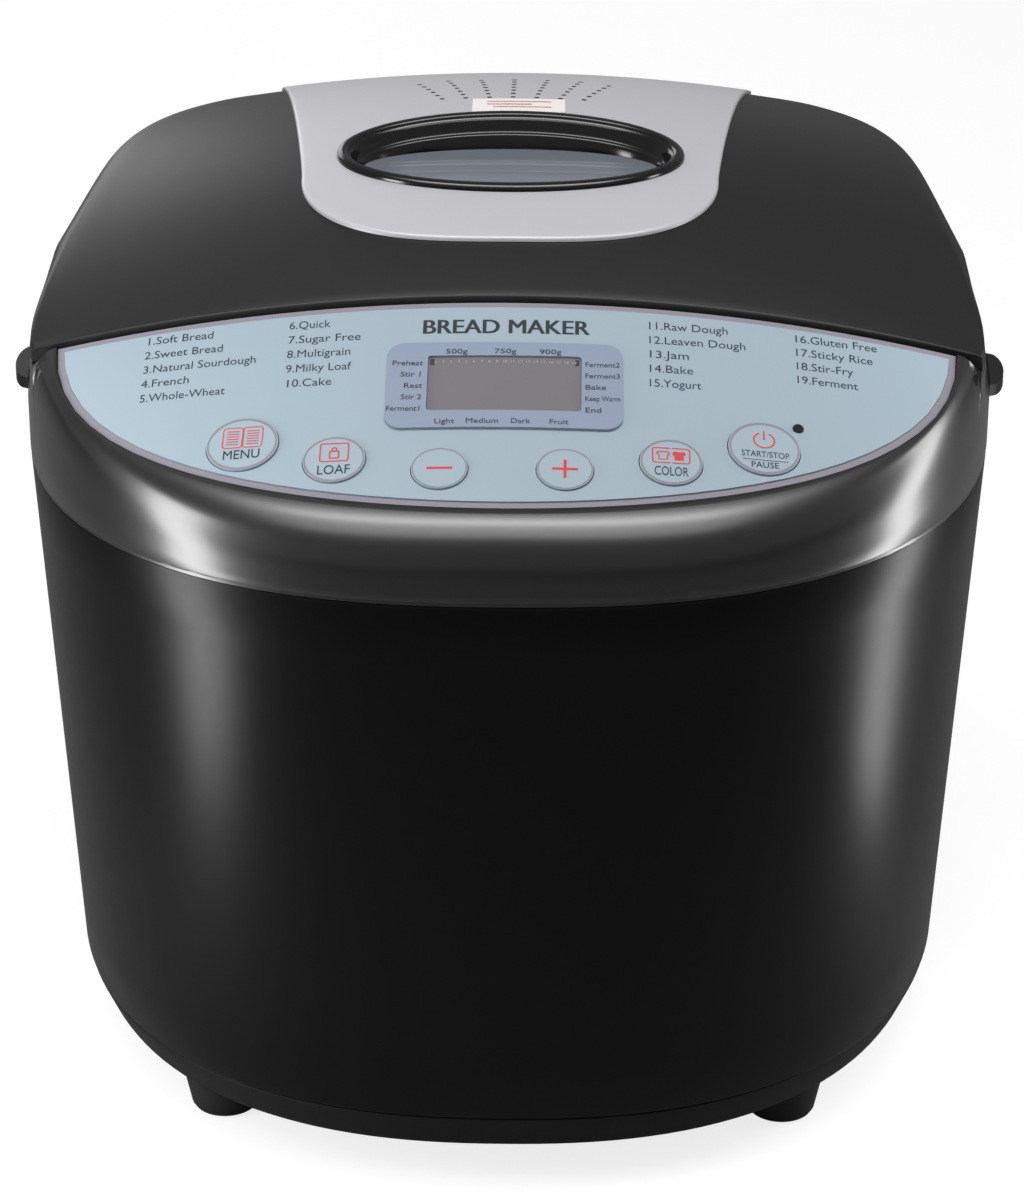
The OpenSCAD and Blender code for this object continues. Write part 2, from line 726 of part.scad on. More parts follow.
module lid_knuckle(a) {
  x = a * 40.4 * kx;
  top = z_line + tan_s * rise(hinge_y - y_line) - pow(47 * kx, 2) / (2 * crown_r) - 1;
  translate([x, hinge_y, hinge_z]) difference() {
    union() {
      bar_x(5, -5.8, 5.8);
      translate([-5.8, -4.6, 0]) cube([11.6, 9.2, top - hinge_z]);
    }
    bar_x(pin_r + run_gap, -8, 8);
  }
}

// Satin plate on the lid, set round the window and run out to the back
rear_y = 128 * ky;
function plate_side(a, s) = [a * mix(62.5, 78, pow(s, 1.1)) * kx, mix(-5 * ky, rear_y - 6, s)];
function plate_edge() = concat(
  [for (i = [0:20]) let (t = -90 + 90 * i / 20)
    [62.5 * kx * pow(abs(cos(t)), 0.72), -5 * ky - 39 * ky * pow(abs(sin(t)), 0.9)]],
  [for (i = [1:12]) plate_side(1, i / 12)],
  [[74 * kx, rear_y - 1]],
  [for (i = [0:10]) [mix(70, -70, i / 10) * kx, rear_y]],
  [[-74 * kx, rear_y - 1]],
  [for (i = [12:-1:1]) plate_side(-1, i / 12)],
  [for (i = [0:19]) let (t = 180 + 90 * i / 20)
    [-62.5 * kx * pow(abs(cos(t)), 0.72), -5 * ky - 39 * ky * pow(abs(sin(t)), 0.9)]]);

module lid_panel() {
  edge = plate_edge();
  a = win_a - 1.6;
  b = win_b - 1.6;
  up = 1.4;
  low = 0.3;
  color("#cfcfd3") hoop(concat(
    [[for (p = edge) on_top(p, low)], [for (p = edge) on_top(p, up - 0.5)],
     [for (p = edge) on_top(mix(p, oval(p, a, b), 0.02), up)]],
    [for (s = [1:9]) [for (p = edge) on_top(mix(p, oval(p, a, b), s / 9), up)]],
    [for (s = [9:-1:1]) [for (p = edge) on_top(mix(p, oval(p, a, b), s / 9), low)]]));
}

function win_ring(g, up, flat = undef) = [for (i = [0:63]) let (t = 360 * i / 64,
    p = [(win_a + g) * cos(t), win_y + (win_b + g) * sin(t)])
  flat == undef ? on_top(p, up) : at(p, flat)];
glass_z = z_top([0, win_y]) - glass_depth;

// Ring that follows the lid, but stays over the glass by the given least height
function win_step(g, up, least) = [for (p = win_ring(g, up)) at(p, max(p[2], glass_z + least))];

module lid_bezel() {
  color("#101012") hoop([
    win_ring(-2.9, 0, glass_z - 4), win_ring(-2.9, 1.6), win_ring(0, 1.5), win_ring(0, 2.5),
    win_ring(-1.2, 3.2), win_ring(-2.8, 3.1), win_ring(-4.2, 2), win_step(-5.6, -1.9, 1.3),
    win_step(-6.7, -2.3, 1.1), win_step(-7.3, -3.6, 0.8), win_ring(-7.7, 0, glass_z + 0.02),
    win_ring(-5.8, 0, glass_z + 0.02), win_ring(-5.8, 0, glass_z - 4)]);
}

module lid_glass() {
  color("#9297a0") stack([win_ring(-6, 0, glass_z - 3), win_ring(-6, 0, glass_z)]);
}

liner_x = oven_x + 0.5;
liner_y = oven_y + 0.5;
module lid_liner() {
  color("Silver") translate([0, axis_y, 0]) difference() {
    union() {
      slab_rect(liner_x, liner_y, oven_r, z_deck + 0.7, liner_z + 1);
      for (a = [-1, 1], b = [-1, 1]) translate([a * 62 * kx, b * 52 * ky, 0])
        rod(4, liner_z, z_line - 7);
    }
    slab_rect(liner_x - 1, liner_y - 1, oven_r - 1, z_deck - 1, liner_z);
    translate([0, win_y - axis_y, liner_z - 1]) slab_rect(42 * kx, 22 * ky, 20 * ky, 0, 4);
  }
}

module liner_glass() {
  color("#a8b0b4") translate([0, win_y, 0])
    slab_rect(46 * kx, 26 * ky, 22 * ky, liner_z + 1, liner_z + 4);
}

module lid_label() {
  y = 42.6 * ky;
  w = 1.55;
  pts = [for (i = [0:8]) mix(-12.5, 16.3, i / 8)];
  ring = concat([for (x = pts) [x, y - 7]], [for (j = [8:-1:0]) [pts[j], y + 7]]);
  color("#ece7e4") stack_label(ring, w);
}

module stack_label(ring, w) {
  n = len(ring);
  h = n / 2;
  polyhedron(points = concat([for (p = ring) on_top(p, w)], [for (p = ring) on_top(p, w + 0.15)]),
    faces = concat(
      [for (i = [0:n - 1]) let (v = (i + 1) % n) each [[i, n + i, n + v], [i, n + v, v]]],
      [for (i = [0:h - 2]) each [[i, i + 1, n - 2 - i], [i, n - 2 - i, n - 1 - i]]],
      [for (i = [0:h - 2]) let (far = 2 * n - 2 - i)
        each [[n + i, far, n + i + 1], [n + i, far + 1, far]]]));
}

// ---- Pan -----------------------------------------------------------------

function pan_ring(x, y, r, z) = [for (i = [0:63]) let (t = 360 * i / 64, p = se(x, y, 3.6, t))
  [p[0], axis_y + p[1], z]];

module pan() {
  x0 = pan_x - 9;
  y0 = pan_y - 9;
  color("#5a5c60") difference() {
    stack([pan_ring(x0 - 3, y0 - 3, 0, pan_floor), pan_ring(x0, y0, 0, pan_floor + 4),
      pan_ring(pan_x - 3, pan_y - 3, 0, pan_top - 2), pan_ring(pan_x, pan_y, 0, pan_top - 2),
      pan_ring(pan_x, pan_y, 0, pan_top), pan_ring(pan_x - 4.5, pan_y - 4.5, 0, pan_top),
      pan_ring(x0 - 1.6, y0 - 1.6, 0, pan_floor + 5), pan_ring(x0 - 5, y0 - 5, 0, pan_floor + 1.8)]);
    translate([0, axis_y, 0]) rod(8, pan_floor - 1, pan_floor + 4);
  }
  color("#b9babd") for (a = [-1, 1]) translate([a * (pan_x - 4.4), axis_y, pan_top - 10])
    bar_x(2.5, -1.0, 1.0);
}

module pan_base() {
  color("#b9babd") translate([0, axis_y, 0]) difference() {
    union() {
      tube(40, 36.5, 65, pan_floor);
      rod(39, pan_floor - 4, pan_floor);
      rod(12, 78, pan_floor);
      rod(7.9, pan_floor - 1, pan_floor + 2.6);
    }
    rod(spin_r + run_gap, 60, 100);
  }
}

handle_l = 62 * ky;
handle_a = 11.5;
module pan_handle() {
  x = pan_x + 3.6;
  color("Silver") translate([0, axis_y, pan_top - 10]) rotate([handle_a, 0, 0]) union() {
    for (a = [-1, 1]) {
      translate([a * x, -3, 0]) rotate([-90, 0, 0]) cylinder(r = 1.8, h = handle_l - 5, $fn = 32);
      translate([a > 0 ? pan_x - 2.6 : -x, 0, 0]) bar_x(1.5, 0, 6.2);
      translate([a * (x - 8), handle_l - 8, 0]) rotate([0, 0, a > 0 ? 0 : 90])
        rotate_extrude(angle = 90, $fn = 64) translate([8, 0]) circle(r = 1.8, $fn = 32);
    }
    translate([0, handle_l, 0]) bar_x(1.8, -x + 8, x - 8);
  }
}

module pan_spindle() {
  color("Silver") translate([0, axis_y, 0]) difference() {
    union() {
      rod(spin_r, 69, 108);
      rod(6.4, 69, 77.6);
      rotate([0, 0, 90]) translate([-12, -3, 69.4]) cube([24, 6, 5]);
    }
    translate([spin_r - 1.2, -5, 91]) cube([5, 10, 20]);
  }
}

module paddle() {
  z0 = pan_floor + 5.2;
  color("#4a4b4e") translate([0, axis_y, 0]) difference() {
    union() {
      rod(8.5, z0, z0 + 24);
      for (i = [0:5]) let (s = i / 6) translate([5 + i * (blade_len - 5) / 6, -3.2 + s * 1.4, z0])
        cube([(blade_len - 5) / 6 + 0.01, 6.4 - 2.8 * s, 22 - 11 * s]);
      translate([blade_len, 0, z0]) cylinder(r = 2.1, h = 10, $fn = 32);
    }
    difference() {
      rod(spin_r + run_gap, z0 - 1, z0 + 22);
      translate([spin_r - 1.1, -5, 91.6]) cube([5, 10, 30]);
    }
  }
}

base_tray();
foot(-84 * kx, -103 * ky);  // foot_front_left
foot(84 * kx, -103 * ky);  // foot_front_right
foot(-86 * kx, 108 * ky);  // foot_rear_left
foot(86 * kx, 108 * ky);  // foot_rear_right
body_shell();
collar();
ear(-1);  // handle_left
ear(1);  // handle_right
panel_plate();
panel_overlay();
lcd_frame();
lcd_window();
lcd_module();
led_lens();
control_board();
chamber();
heater();
pan_socket();
sensor();
thermal_fuse();
chassis_plate();
chassis_screws();
motor_can();
motor_stator();
drive_bearing();
belt();
run_capacitor();
power_board();
cord_gland();
hinge_pin(-1);  // hinge_pin_left
hinge_pin(1);  // hinge_pin_right
lid_shell();
lid_panel();
lid_bezel();
lid_glass();
lid_liner();
liner_glass();
lid_label();
key("menu");  // key_menu
key("loaf");  // key_loaf
key("minus");  // key_minus
key("plus");  // key_plus
key("color");  // key_color
key("start");  // key_start
pan();
pan_base();
pan_handle();
pan_spindle();
paddle();
drive_shaft();
drive_pulley();
drive_coupling();
motor_rotor();
motor_pulley();
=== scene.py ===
import math

import bmesh
import bpy
from mathutils import Matrix, Vector


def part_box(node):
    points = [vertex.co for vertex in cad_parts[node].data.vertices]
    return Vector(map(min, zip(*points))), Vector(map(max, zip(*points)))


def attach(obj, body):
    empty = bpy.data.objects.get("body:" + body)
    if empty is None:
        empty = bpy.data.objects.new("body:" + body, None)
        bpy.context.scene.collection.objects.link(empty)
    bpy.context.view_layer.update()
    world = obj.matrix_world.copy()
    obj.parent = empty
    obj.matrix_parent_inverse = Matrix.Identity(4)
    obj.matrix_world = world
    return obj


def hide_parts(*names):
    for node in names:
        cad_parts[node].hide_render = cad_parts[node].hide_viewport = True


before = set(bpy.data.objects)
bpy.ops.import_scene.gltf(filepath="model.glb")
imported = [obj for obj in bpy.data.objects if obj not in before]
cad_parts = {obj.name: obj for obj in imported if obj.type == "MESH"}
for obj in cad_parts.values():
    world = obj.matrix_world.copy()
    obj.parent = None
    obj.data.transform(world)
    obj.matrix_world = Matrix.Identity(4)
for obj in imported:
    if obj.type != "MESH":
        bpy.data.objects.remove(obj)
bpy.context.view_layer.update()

MM = 0.001
ATAN = math.atan2


# ---- Sizes, from the frame -------------------------------------------------

shell_low, shell_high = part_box("body_shell")
tray_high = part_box("base_tray")[1]
foot_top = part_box("foot_front_left")[1].z
HALF_W = shell_high.x
HALF_D = shell_high.y
SEAM = shell_high.z
FOOT = foot_top
SHELL = shell_low.z
DECK = SEAM + 35 * MM
LINE_Y = -0.43567 * HALF_D
LINE_Z = SEAM + 55.8 * MM
PLAN = 2.44
FOOT_PLAN = 2.35
SLOPE = math.radians(22.7)
CROWN = 552 * MM
CROWN_P = CROWN / math.cos(SLOPE)
ARCH = 0.68471 * HALF_D
WIN_Y = 0.036306 * HALF_D
WIN_A = (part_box("lid_bezel")[1].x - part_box("lid_bezel")[0].x) / 2
WIN_B = (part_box("lid_bezel")[1].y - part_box("lid_bezel")[0].y) / 2
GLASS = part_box("lid_glass")[1].z
PANEL_A = 0.8924 * HALF_W
PANEL_D = 0.486 * HALF_D


def top(x, y):
    """Height of the lid and panel surface."""
    u = y - LINE_Y
    rise = u - u * u / (2 * ARCH) if u > 0 else u
    return LINE_Z + math.tan(SLOPE) * rise - x * x / (2 * CROWN)


def bulge(a, b, n, t):
    """Point of the plan's rounded outline in direction t."""
    c, s = math.cos(t), math.sin(t)
    r = (abs(c / a) ** n + abs(s / b) ** n) ** (-1 / n)
    return Vector((r * c, r * s))


def outward(a, b, n, p):
    """Outward direction of the same outline at p."""
    v = Vector((math.copysign(abs(p.x / a) ** (n - 1) / a, p.x),
                math.copysign(abs(p.y / b) ** (n - 1) / b, p.y)))
    return v.normalized()


def half_width(y):
    return HALF_W * (1 - abs(y / HALF_D) ** PLAN) ** (1 / PLAN)


def mix(a, b, s):
    return a + (b - a) * s


def smooth_step(s):
    t = min(1, max(0, s))
    return t * t * (3 - 2 * t)


def lean(y):
    """How far the collar's rim leans in beside the lid."""
    y = y / HALF_D * 157
    return 5.6 * MM * smooth_step((y + 64) / 30) * (1 - smooth_step((y - 12) / 62))


def bend(a, b, c, s):
    return mix(mix(a, b, s), mix(b, c, s), s)


# ---- Mesh helpers ----------------------------------------------------------


def piece(name, bm, body, finish, sharp=35):
    """A finished mesh object that rides on a body."""
    mesh = bpy.data.meshes.new(name)
    bm.to_mesh(mesh)
    bm.free()
    mesh.materials.append(finish)
    for face in mesh.polygons:
        face.use_smooth = True
    mesh.set_sharp_from_angle(angle=math.radians(sharp))
    made = bpy.data.objects.new(name, mesh)
    bpy.context.scene.collection.objects.link(made)
    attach(made, body)
    return made


def skin(rings, closed=False, capped=False):
    """Extrudes one ring of edges through each list of points in turn."""
    bm = bmesh.new()
    bmesh.ops.create_circle(bm, segments=len(rings[0]), radius=1)
    bm.verts.ensure_lookup_table()
    row = list(bm.verts)
    first = edges = list(bm.edges)
    for vert, point in zip(row, rings[0]):
        vert.co = point
    if capped:
        bmesh.ops.contextual_create(bm, geom=edges)
    for ring in rings[1:]:
        made = bmesh.ops.extrude_edge_only(bm, edges=edges)["geom"]
        edges = [g for g in made if isinstance(g, bmesh.types.BMEdge)]
        fresh = {g for g in made if isinstance(g, bmesh.types.BMVert)}
        step = {}
        for vert in row:
            step[vert] = next(e.other_vert(vert) for e in vert.link_edges if e.other_vert(vert) in fresh)
        row = [step[vert] for vert in row]
        for vert, point in zip(row, ring):
            vert.co = point
    if closed:
        bmesh.ops.bridge_loops(bm, edges=first + edges)
    if capped:
        bmesh.ops.contextual_create(bm, geom=edges)
    bmesh.ops.recalc_face_normals(bm, faces=bm.faces)
    return bm


def plan_ring(a, b, n, inset, z, count=168):
    """One level ring of the housing, drawn in by inset."""
    ring = []
    for i in range(count):
        p = bulge(a, b, n, math.tau * i / count)
        p = p - outward(a, b, n, p) * inset
        ring.append(Vector((p.x, p.y, z)))
    return ring


# ---- Materials -------------------------------------------------------------


def rgb(code, alpha=1.0):
    """sRGB hex to linear colour."""
    parts = [int(code[i : i + 2], 16) / 255 for i in (1, 3, 5)]
    return [c / 12.92 if c <= 0.04045 else ((c + 0.055) / 1.055) ** 2.4 for c in parts] + [alpha]


def add(tree, kind, settings=(), links=()):
    """Adds a node, gives its sockets or properties their values, and links its inputs."""
    made = tree.nodes.new(kind)
    for key, value in dict(settings).items():
        if isinstance(key, str) and hasattr(made, key):
            setattr(made, key, value)
        else:
            made.inputs[key].default_value = value
    for key, source in dict(links).items():
        tree.links.new(source, made.inputs[key])
    return made


def finish_of(name, shade, rough, grain_mm=1.0, spread=0.05, vary=0.06, lift=0.0, **sockets):
    """A surface with its colour and gloss varied over a grain of the given size."""
    made = bpy.data.materials.new(name)
    made.use_nodes = True
    tree = made.node_tree
    tree.nodes.clear()
    place = add(tree, "ShaderNodeTexCoord").outputs["Object"]
    fine = add(tree, "ShaderNodeTexNoise", {"Scale": 1 / (grain_mm * MM), "Detail": 3.0},
               {"Vector": place})
    broad = add(tree, "ShaderNodeTexNoise", {"Scale": 1 / (45 * MM), "Detail": 2.0}, {"Vector": place})
    base = rgb(shade)
    dark = [c * (1 - vary) for c in base[:3]] + [1]
    light = [min(1, c * (1 + vary)) for c in base[:3]] + [1]
    colour = add(tree, "ShaderNodeMix", {"data_type": "RGBA"})
    colour.inputs[6].default_value = dark
    colour.inputs[7].default_value = light
    tree.links.new(broad.outputs["Fac"], colour.inputs[0])
    gloss = add(tree, "ShaderNodeMapRange", {"To Min": rough - spread, "To Max": rough + spread},
                {"Value": fine.outputs["Fac"]})
    surface = add(tree, "ShaderNodeBsdfPrincipled", dict(sockets),
                  {"Base Color": colour.outputs[2], "Roughness": gloss.outputs["Result"]})
    if lift:
        bump = add(tree, "ShaderNodeBump", {"Strength": 1.0, "Distance": lift * MM},
                   {"Height": fine.outputs["Fac"]})
        tree.links.new(bump.outputs["Normal"], surface.inputs["Normal"])
    add(tree, "ShaderNodeOutputMaterial", {}, {"Surface": surface.outputs[0]})
    return made


def brushed(name, shade, rough, along=(0, 0, 1)):
    """Rolled or brushed sheet: streaks a few tenths of a millimetre wide and 30 mm long."""
    made = bpy.data.materials.new(name)
    made.use_nodes = True
    tree = made.node_tree
    tree.nodes.clear()
    place = add(tree, "ShaderNodeTexCoord").outputs["Object"]
    stretch = [1 / (30 * MM) if a else 1 / (0.5 * MM) for a in along]
    drawn = add(tree, "ShaderNodeMapping", {"Scale": stretch}, {"Vector": place})
    streak = add(tree, "ShaderNodeTexNoise", {"Scale": 1.0, "Detail": 4.0},
                 {"Vector": drawn.outputs[0]})
    gloss = add(tree, "ShaderNodeMapRange", {"To Min": rough - 0.08, "To Max": rough + 0.1},
                {"Value": streak.outputs["Fac"]})
    bump = add(tree, "ShaderNodeBump", {"Strength": 1.0, "Distance": 0.02 * MM},
               {"Height": streak.outputs["Fac"]})
    surface = add(tree, "ShaderNodeBsdfPrincipled", {"Base Color": rgb(shade), "Metallic": 1.0},
                  {"Roughness": gloss.outputs["Result"], "Normal": bump.outputs["Normal"]})
    add(tree, "ShaderNodeOutputMaterial", {}, {"Surface": surface.outputs[0]})
    return made


# Body: ABS sprayed with gloss black lacquer. A faint orange peel of about 2 mm softens its reflections.
body_lacquer = finish_of("body_lacquer_on_abs", "#030304", 0.3, 2.2, 0.03, 0.1, 0.004,
                         **{"Specular IOR Level": 0.22})
# Collar: the same ABS in satin charcoal, so the shoulder carries one wide soft highlight.
collar_lacquer = finish_of("collar_lacquer_on_abs", "#060607", 0.3, 1.4, 0.03, 0.1, 0.003,
                           **{"Specular IOR Level": 0.8, "Coat Weight": 0.4, "Coat Roughness": 0.2})
# Lid: moulded black ABS with a fine spark-eroded texture, even and low in gloss.
lid_abs = finish_of("lid_textured_abs", "#0a0b0c", 0.42, 0.5, 0.04, 0.08, 0.006,
                    **{"Specular IOR Level": 0.45})
# Base tray and handles: bare moulded black polypropylene, matter and greyer than the lacquer.
base_pp = finish_of("base_moulded_polypropylene", "#121314", 0.5, 0.6, 0.05, 0.1, 0.006,
                    **{"Specular IOR Level": 0.25})
# Feet: moulded rubber, dull, with a fine tooth.
foot_rubber = finish_of("foot_moulded_rubber", "#101011", 0.72, 0.4, 0.06, 0.15, 0.02)
# Silver plate: metallic lacquer, whose flakes give a bright satin without a mirror image.
silver_lacquer = finish_of("silver_metallic_lacquer", "#c2c2c6", 0.42, 0.35, 0.07, 0.02, 0.003,
                           **{"Metallic": 0.2, "Specular IOR Level": 0.5})
# Window surround: polished black ABS.
bezel_abs = finish_of("bezel_polished_abs", "#050506", 0.14, 3.0, 0.02, 0.05, 0.0,
                      **{"Specular IOR Level": 0.6})
# Panel film: back-printed polyester with a velvet face, pale blue-grey.
panel_film = finish_of("panel_printed_polyester", "#9cadb8", 0.42, 0.3, 0.05, 0.015, 0.002,
                       **{"Specular IOR Level": 0.35})
key_film = finish_of("key_printed_polyester", "#9eafba", 0.40, 0.3, 0.05, 0.015, 0.002,
                     **{"Specular IOR Level": 0.35})
border_abs = finish_of("panel_border_satin_abs", "#8a8690", 0.38, 0.6, 0.05, 0.03, 0.002)
lcd_print = finish_of("display_frame_print", "#8894a9", 0.42, 0.3, 0.05, 0.02, 0.001)
lcd_face = finish_of("display_polariser", "#77757a", 0.22, 6.0, 0.02, 0.04, 0.0,
                     **{"Specular IOR Level": 0.4})
lcd_dark = finish_of("display_segment_ink", "#3d3c42", 0.3, 2.0, 0.02, 0.05)
lcd_pale = finish_of("display_segment_pale", "#b4b1ae", 0.3, 2.0, 0.02, 0.05)
# Screen-printed inks: matt, and slightly uneven at their edges.
navy_ink = finish_of("screen_ink_navy", "#18232c", 0.6, 0.4, 0.05, 0.08)
red_ink = finish_of("screen_ink_red", "#d0333a", 0.6, 0.4, 0.05, 0.06)
grey_ink = finish_of("screen_ink_grey", "#86838d", 0.55, 0.4, 0.05, 0.06)
led_resin = finish_of("indicator_tinted_resin", "#14181f", 0.2, 1.0, 0.02, 0.05)
label_paper = finish_of("label_coated_paper", "#ece6e5", 0.5, 0.3, 0.04, 0.02)
label_tint = finish_of("label_pink_ink", "#dfa9ac", 0.5, 0.3, 0.04, 0.03)
# Vent holes: flat discs of near-black painted shade stand in for the shadowed holes; no holes are cut.
vent_painted_shade = finish_of("vent_shadow", "#141416", 0.7, 1.0, 0.03, 0.05)
# Window: toughened glass with a grey tint, and a painted sheen: the studio's light on it is painted into its
# pale grey-blue colour as a flat sheen.
window_glass = finish_of("window_tinted_glass_painted_sheen", "#868d97", 0.07, 8.0, 0.02, 0.03, 0.0,
                         **{"Transmission Weight": 0.3, "Specular IOR Level": 0.7})
inner_glass = finish_of("liner_clear_glass", "#c8d0d2", 0.05, 8.0, 0.01, 0.02, 0.0,
                        **{"Transmission Weight": 0.85})
oven_steel = brushed("oven_rolled_aluminised_steel", "#b4b3b0", 0.38)
plate_steel = brushed("chassis_zinc_coated_steel", "#a9abad", 0.42, (1, 0, 0))
liner_steel = brushed("liner_polished_steel", "#c2c2c1", 0.26, (1, 0, 0))
shaft_steel = brushed("turned_steel", "#c6c7c9", 0.25)
heater_steel = finish_of("heater_oxidised_sheath", "#37363a", 0.55, 1.2, 0.08, 0.3, 0.01, Metallic=0.8)
cast_alloy = finish_of("cast_aluminium", "#a3a5a8", 0.5, 0.8, 0.08, 0.08, 0.03, Metallic=0.9)
nonstick = finish_of("non_stick_coating", "#333437", 0.42, 0.5, 0.08, 0.12, 0.02, Metallic=0.25)
motor_paint = finish_of("motor_can_paint", "#6d7176", 0.45, 1.0, 0.06, 0.1, 0.01, Metallic=0.5)
copper = finish_of("enamelled_copper_wire", "#9a4d27", 0.35, 0.6, 0.06, 0.25, 0.05, Metallic=0.8)
bronze = finish_of("sintered_bronze", "#9c7a45", 0.5, 0.4, 0.08, 0.15, 0.02, Metallic=0.9)
belt_rubber = finish_of("belt_neoprene", "#161617", 0.75, 0.5, 0.05, 0.2, 0.02)
pulley_nylon = finish_of("pulley_glass_filled_nylon", "#26272a", 0.5, 0.7, 0.06, 0.12, 0.01)
board_green = finish_of("circuit_board_lacquer", "#22603a", 0.35, 1.0, 0.06, 0.2, 0.01)
cream_case = finish_of("component_cream_plastic", "#d8d3c2", 0.45, 0.6, 0.05, 0.06, 0.005)

FINISH = {
    "base_tray": base_pp, "foot_front_left": foot_rubber, "foot_front_right": foot_rubber,
    "foot_rear_left": foot_rubber, "foot_rear_right": foot_rubber, "body_shell": body_lacquer,
    "collar": collar_lacquer, "handle_left": base_pp, "handle_right": base_pp, "panel_plate": border_abs,
    "panel_overlay": panel_film, "lcd_frame": lcd_print, "lcd_window": lcd_face, "lcd_module": board_green,
    "led_lens": led_resin, "control_board": board_green, "chamber": oven_steel, "heater": heater_steel,
    "pan_socket": cast_alloy, "sensor": shaft_steel, "thermal_fuse": cream_case, "chassis_plate": plate_steel,
    "chassis_screws": shaft_steel, "motor_can": motor_paint, "motor_stator": copper, "drive_bearing": bronze,
    "belt": belt_rubber, "run_capacitor": cream_case, "power_board": board_green, "cord_gland": base_pp,
    "hinge_pin_left": shaft_steel, "hinge_pin_right": shaft_steel, "lid_shell": lid_abs,
    "lid_panel": silver_lacquer, "lid_bezel": bezel_abs, "lid_glass": window_glass, "lid_liner": liner_steel,
    "liner_glass": inner_glass, "lid_label": label_paper, "key_menu": key_film, "key_loaf": key_film,
    "key_minus": key_film, "key_plus": key_film, "key_color": key_film, "key_start": key_film, "pan": nonstick,
    "pan_base": cast_alloy, "pan_handle": shaft_steel, "pan_spindle": shaft_steel, "paddle": nonstick,
    "drive_shaft": shaft_steel, "drive_pulley": pulley_nylon, "drive_coupling": cast_alloy,
    "motor_rotor": motor_paint, "motor_pulley": cast_alloy,
}


def smoother():
    """Node group that welds a CAD node's loose triangles and smooths all but its sharp edges."""
    group = bpy.data.node_groups.new("weld_and_smooth", "GeometryNodeTree")
    group.interface.new_socket("Geometry", in_out="INPUT", socket_type="NodeSocketGeometry")
    group.interface.new_socket("Geometry", in_out="OUTPUT", socket_type="NodeSocketGeometry")
    start = add(group, "NodeGroupInput")
    weld = add(group, "GeometryNodeMergeByDistance", {"Distance": 0.002 * MM},
               {"Geometry": start.outputs[0]})
    faces = add(group, "GeometryNodeSetShadeSmooth", {"domain": "FACE"}, {"Geometry": weld.outputs[0]})
    angle = add(group, "GeometryNodeInputMeshEdgeAngle")
    steep = add(group, "FunctionNodeCompare", {"operation": "GREATER_THAN", 1: math.radians(28)},
                {0: angle.outputs[0]})
    edges = add(group, "GeometryNodeSetShadeSmooth", {"domain": "EDGE", "Shade Smooth": False},
                {"Geometry": faces.outputs[0], "Selection": steep.outputs[0]})
    add(group, "NodeGroupOutput", {}, {0: edges.outputs[0]})
    return group


smooth = smoother()
for name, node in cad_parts.items():
    node.data.materials.clear()
    node.data.materials.append(FINISH[name])
    node.modifiers.new("weld_and_smooth", "NODES").node_group = smooth


# ---- Housing ---------------------------------------------------------------

WALL = 2.6 * MM
tray_a, tray_b = tray_high.x, tray_high.y
low_a, low_b = 0.9014 * HALF_W, 0.9318 * HALF_D


def body_skin():
    """Tapered shell between the two seams, with small rolled edges and its wall."""
    rings = []
    edge = 0.9 * MM
    span = SEAM - SHELL
    profile = [(edge, 0.0), (0.3 * edge, 0.3 * edge), (0.0, edge)]
    profile += [(0.0, span * s / 10) for s in range(1, 10)]
    profile += [(0.0, span - 1.2 * MM), (0.35 * MM, span - 0.4 * MM), (1.0 * MM, span)]
    profile += [(WALL, span), (WALL, span / 2), (WALL, 0.0)]
    for inset, rise in profile:
        s = rise / span
        a, b, n = mix(tray_a, HALF_W, s), mix(tray_b, HALF_D, s), mix(FOOT_PLAN, PLAN, s)
        rings.append(plan_ring(a, b, n, inset, SHELL + rise))
    made = piece("body_skin", skin(rings, closed=True), "housing", body_lacquer)
    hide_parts("body_shell")


def base_skin():
    """Base ring with its floor, rounded under."""
    rings = [plan_ring(low_a, low_b, FOOT_PLAN, inset, FOOT + rise)
             for inset, rise in ((60 * MM, 0.0), (12 * MM, 0.0), (2.2 * MM, 0.0),
                                 (0.9 * MM, 0.35 * MM))]
    span = SHELL - FOOT
    for inset, rise in ((0.2 * MM, 1.2 * MM), (0.0, 2.4 * MM), (0.0, 0.5 * span),
                        (0.0, span - 1.4 * MM),
                        (0.4 * MM, span - 0.5 * MM), (1.3 * MM, span), (WALL + 1 * MM, span)):
        s = rise / span
        rings.append(plan_ring(mix(low_a, tray_a, s), mix(low_b, tray_b, s), FOOT_PLAN, inset,
                               FOOT + rise))
    rings.append(plan_ring(low_a, low_b, FOOT_PLAN, WALL + 1 * MM, FOOT + WALL))
    rings.append(plan_ring(low_a, low_b, FOOT_PLAN, 60 * MM, FOOT + WALL))
    bm = skin(rings, capped=True)
    made = piece("base_skin", bm, "housing", base_pp)
    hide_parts("base_tray")


def front_rim(count):
    """The collar's outline in front of the lid: plan point, way in, and depth to the panel."""
    y0 = LINE_Y - 0.4 * MM
    t0 = ATAN(y0, -half_width(y0))
    found = []
    for i in range(count + 1):
        p = bulge(HALF_W, HALF_D, PLAN, mix(t0, -math.pi - t0, i / count))
        n = -outward(HALF_W, HALF_D, PLAN, p)
        ramp = min(1, min(i, count - i) / (0.139 * count))
        d = Vector((n.x, n.y * ramp)).normalized()
        q = p - Vector((0, LINE_Y))
        a = (d.x / PANEL_A) ** 2 + (d.y / PANEL_D) ** 2
        b = 2 * (q.x * d.x / PANEL_A**2 + q.y * d.y / PANEL_D**2)
        c = (q.x / PANEL_A) ** 2 + (q.y / PANEL_D) ** 2 - 1
        found.append((p, d, (-b - math.sqrt(b * b - 4 * a * c)) / (2 * a)))
    return found


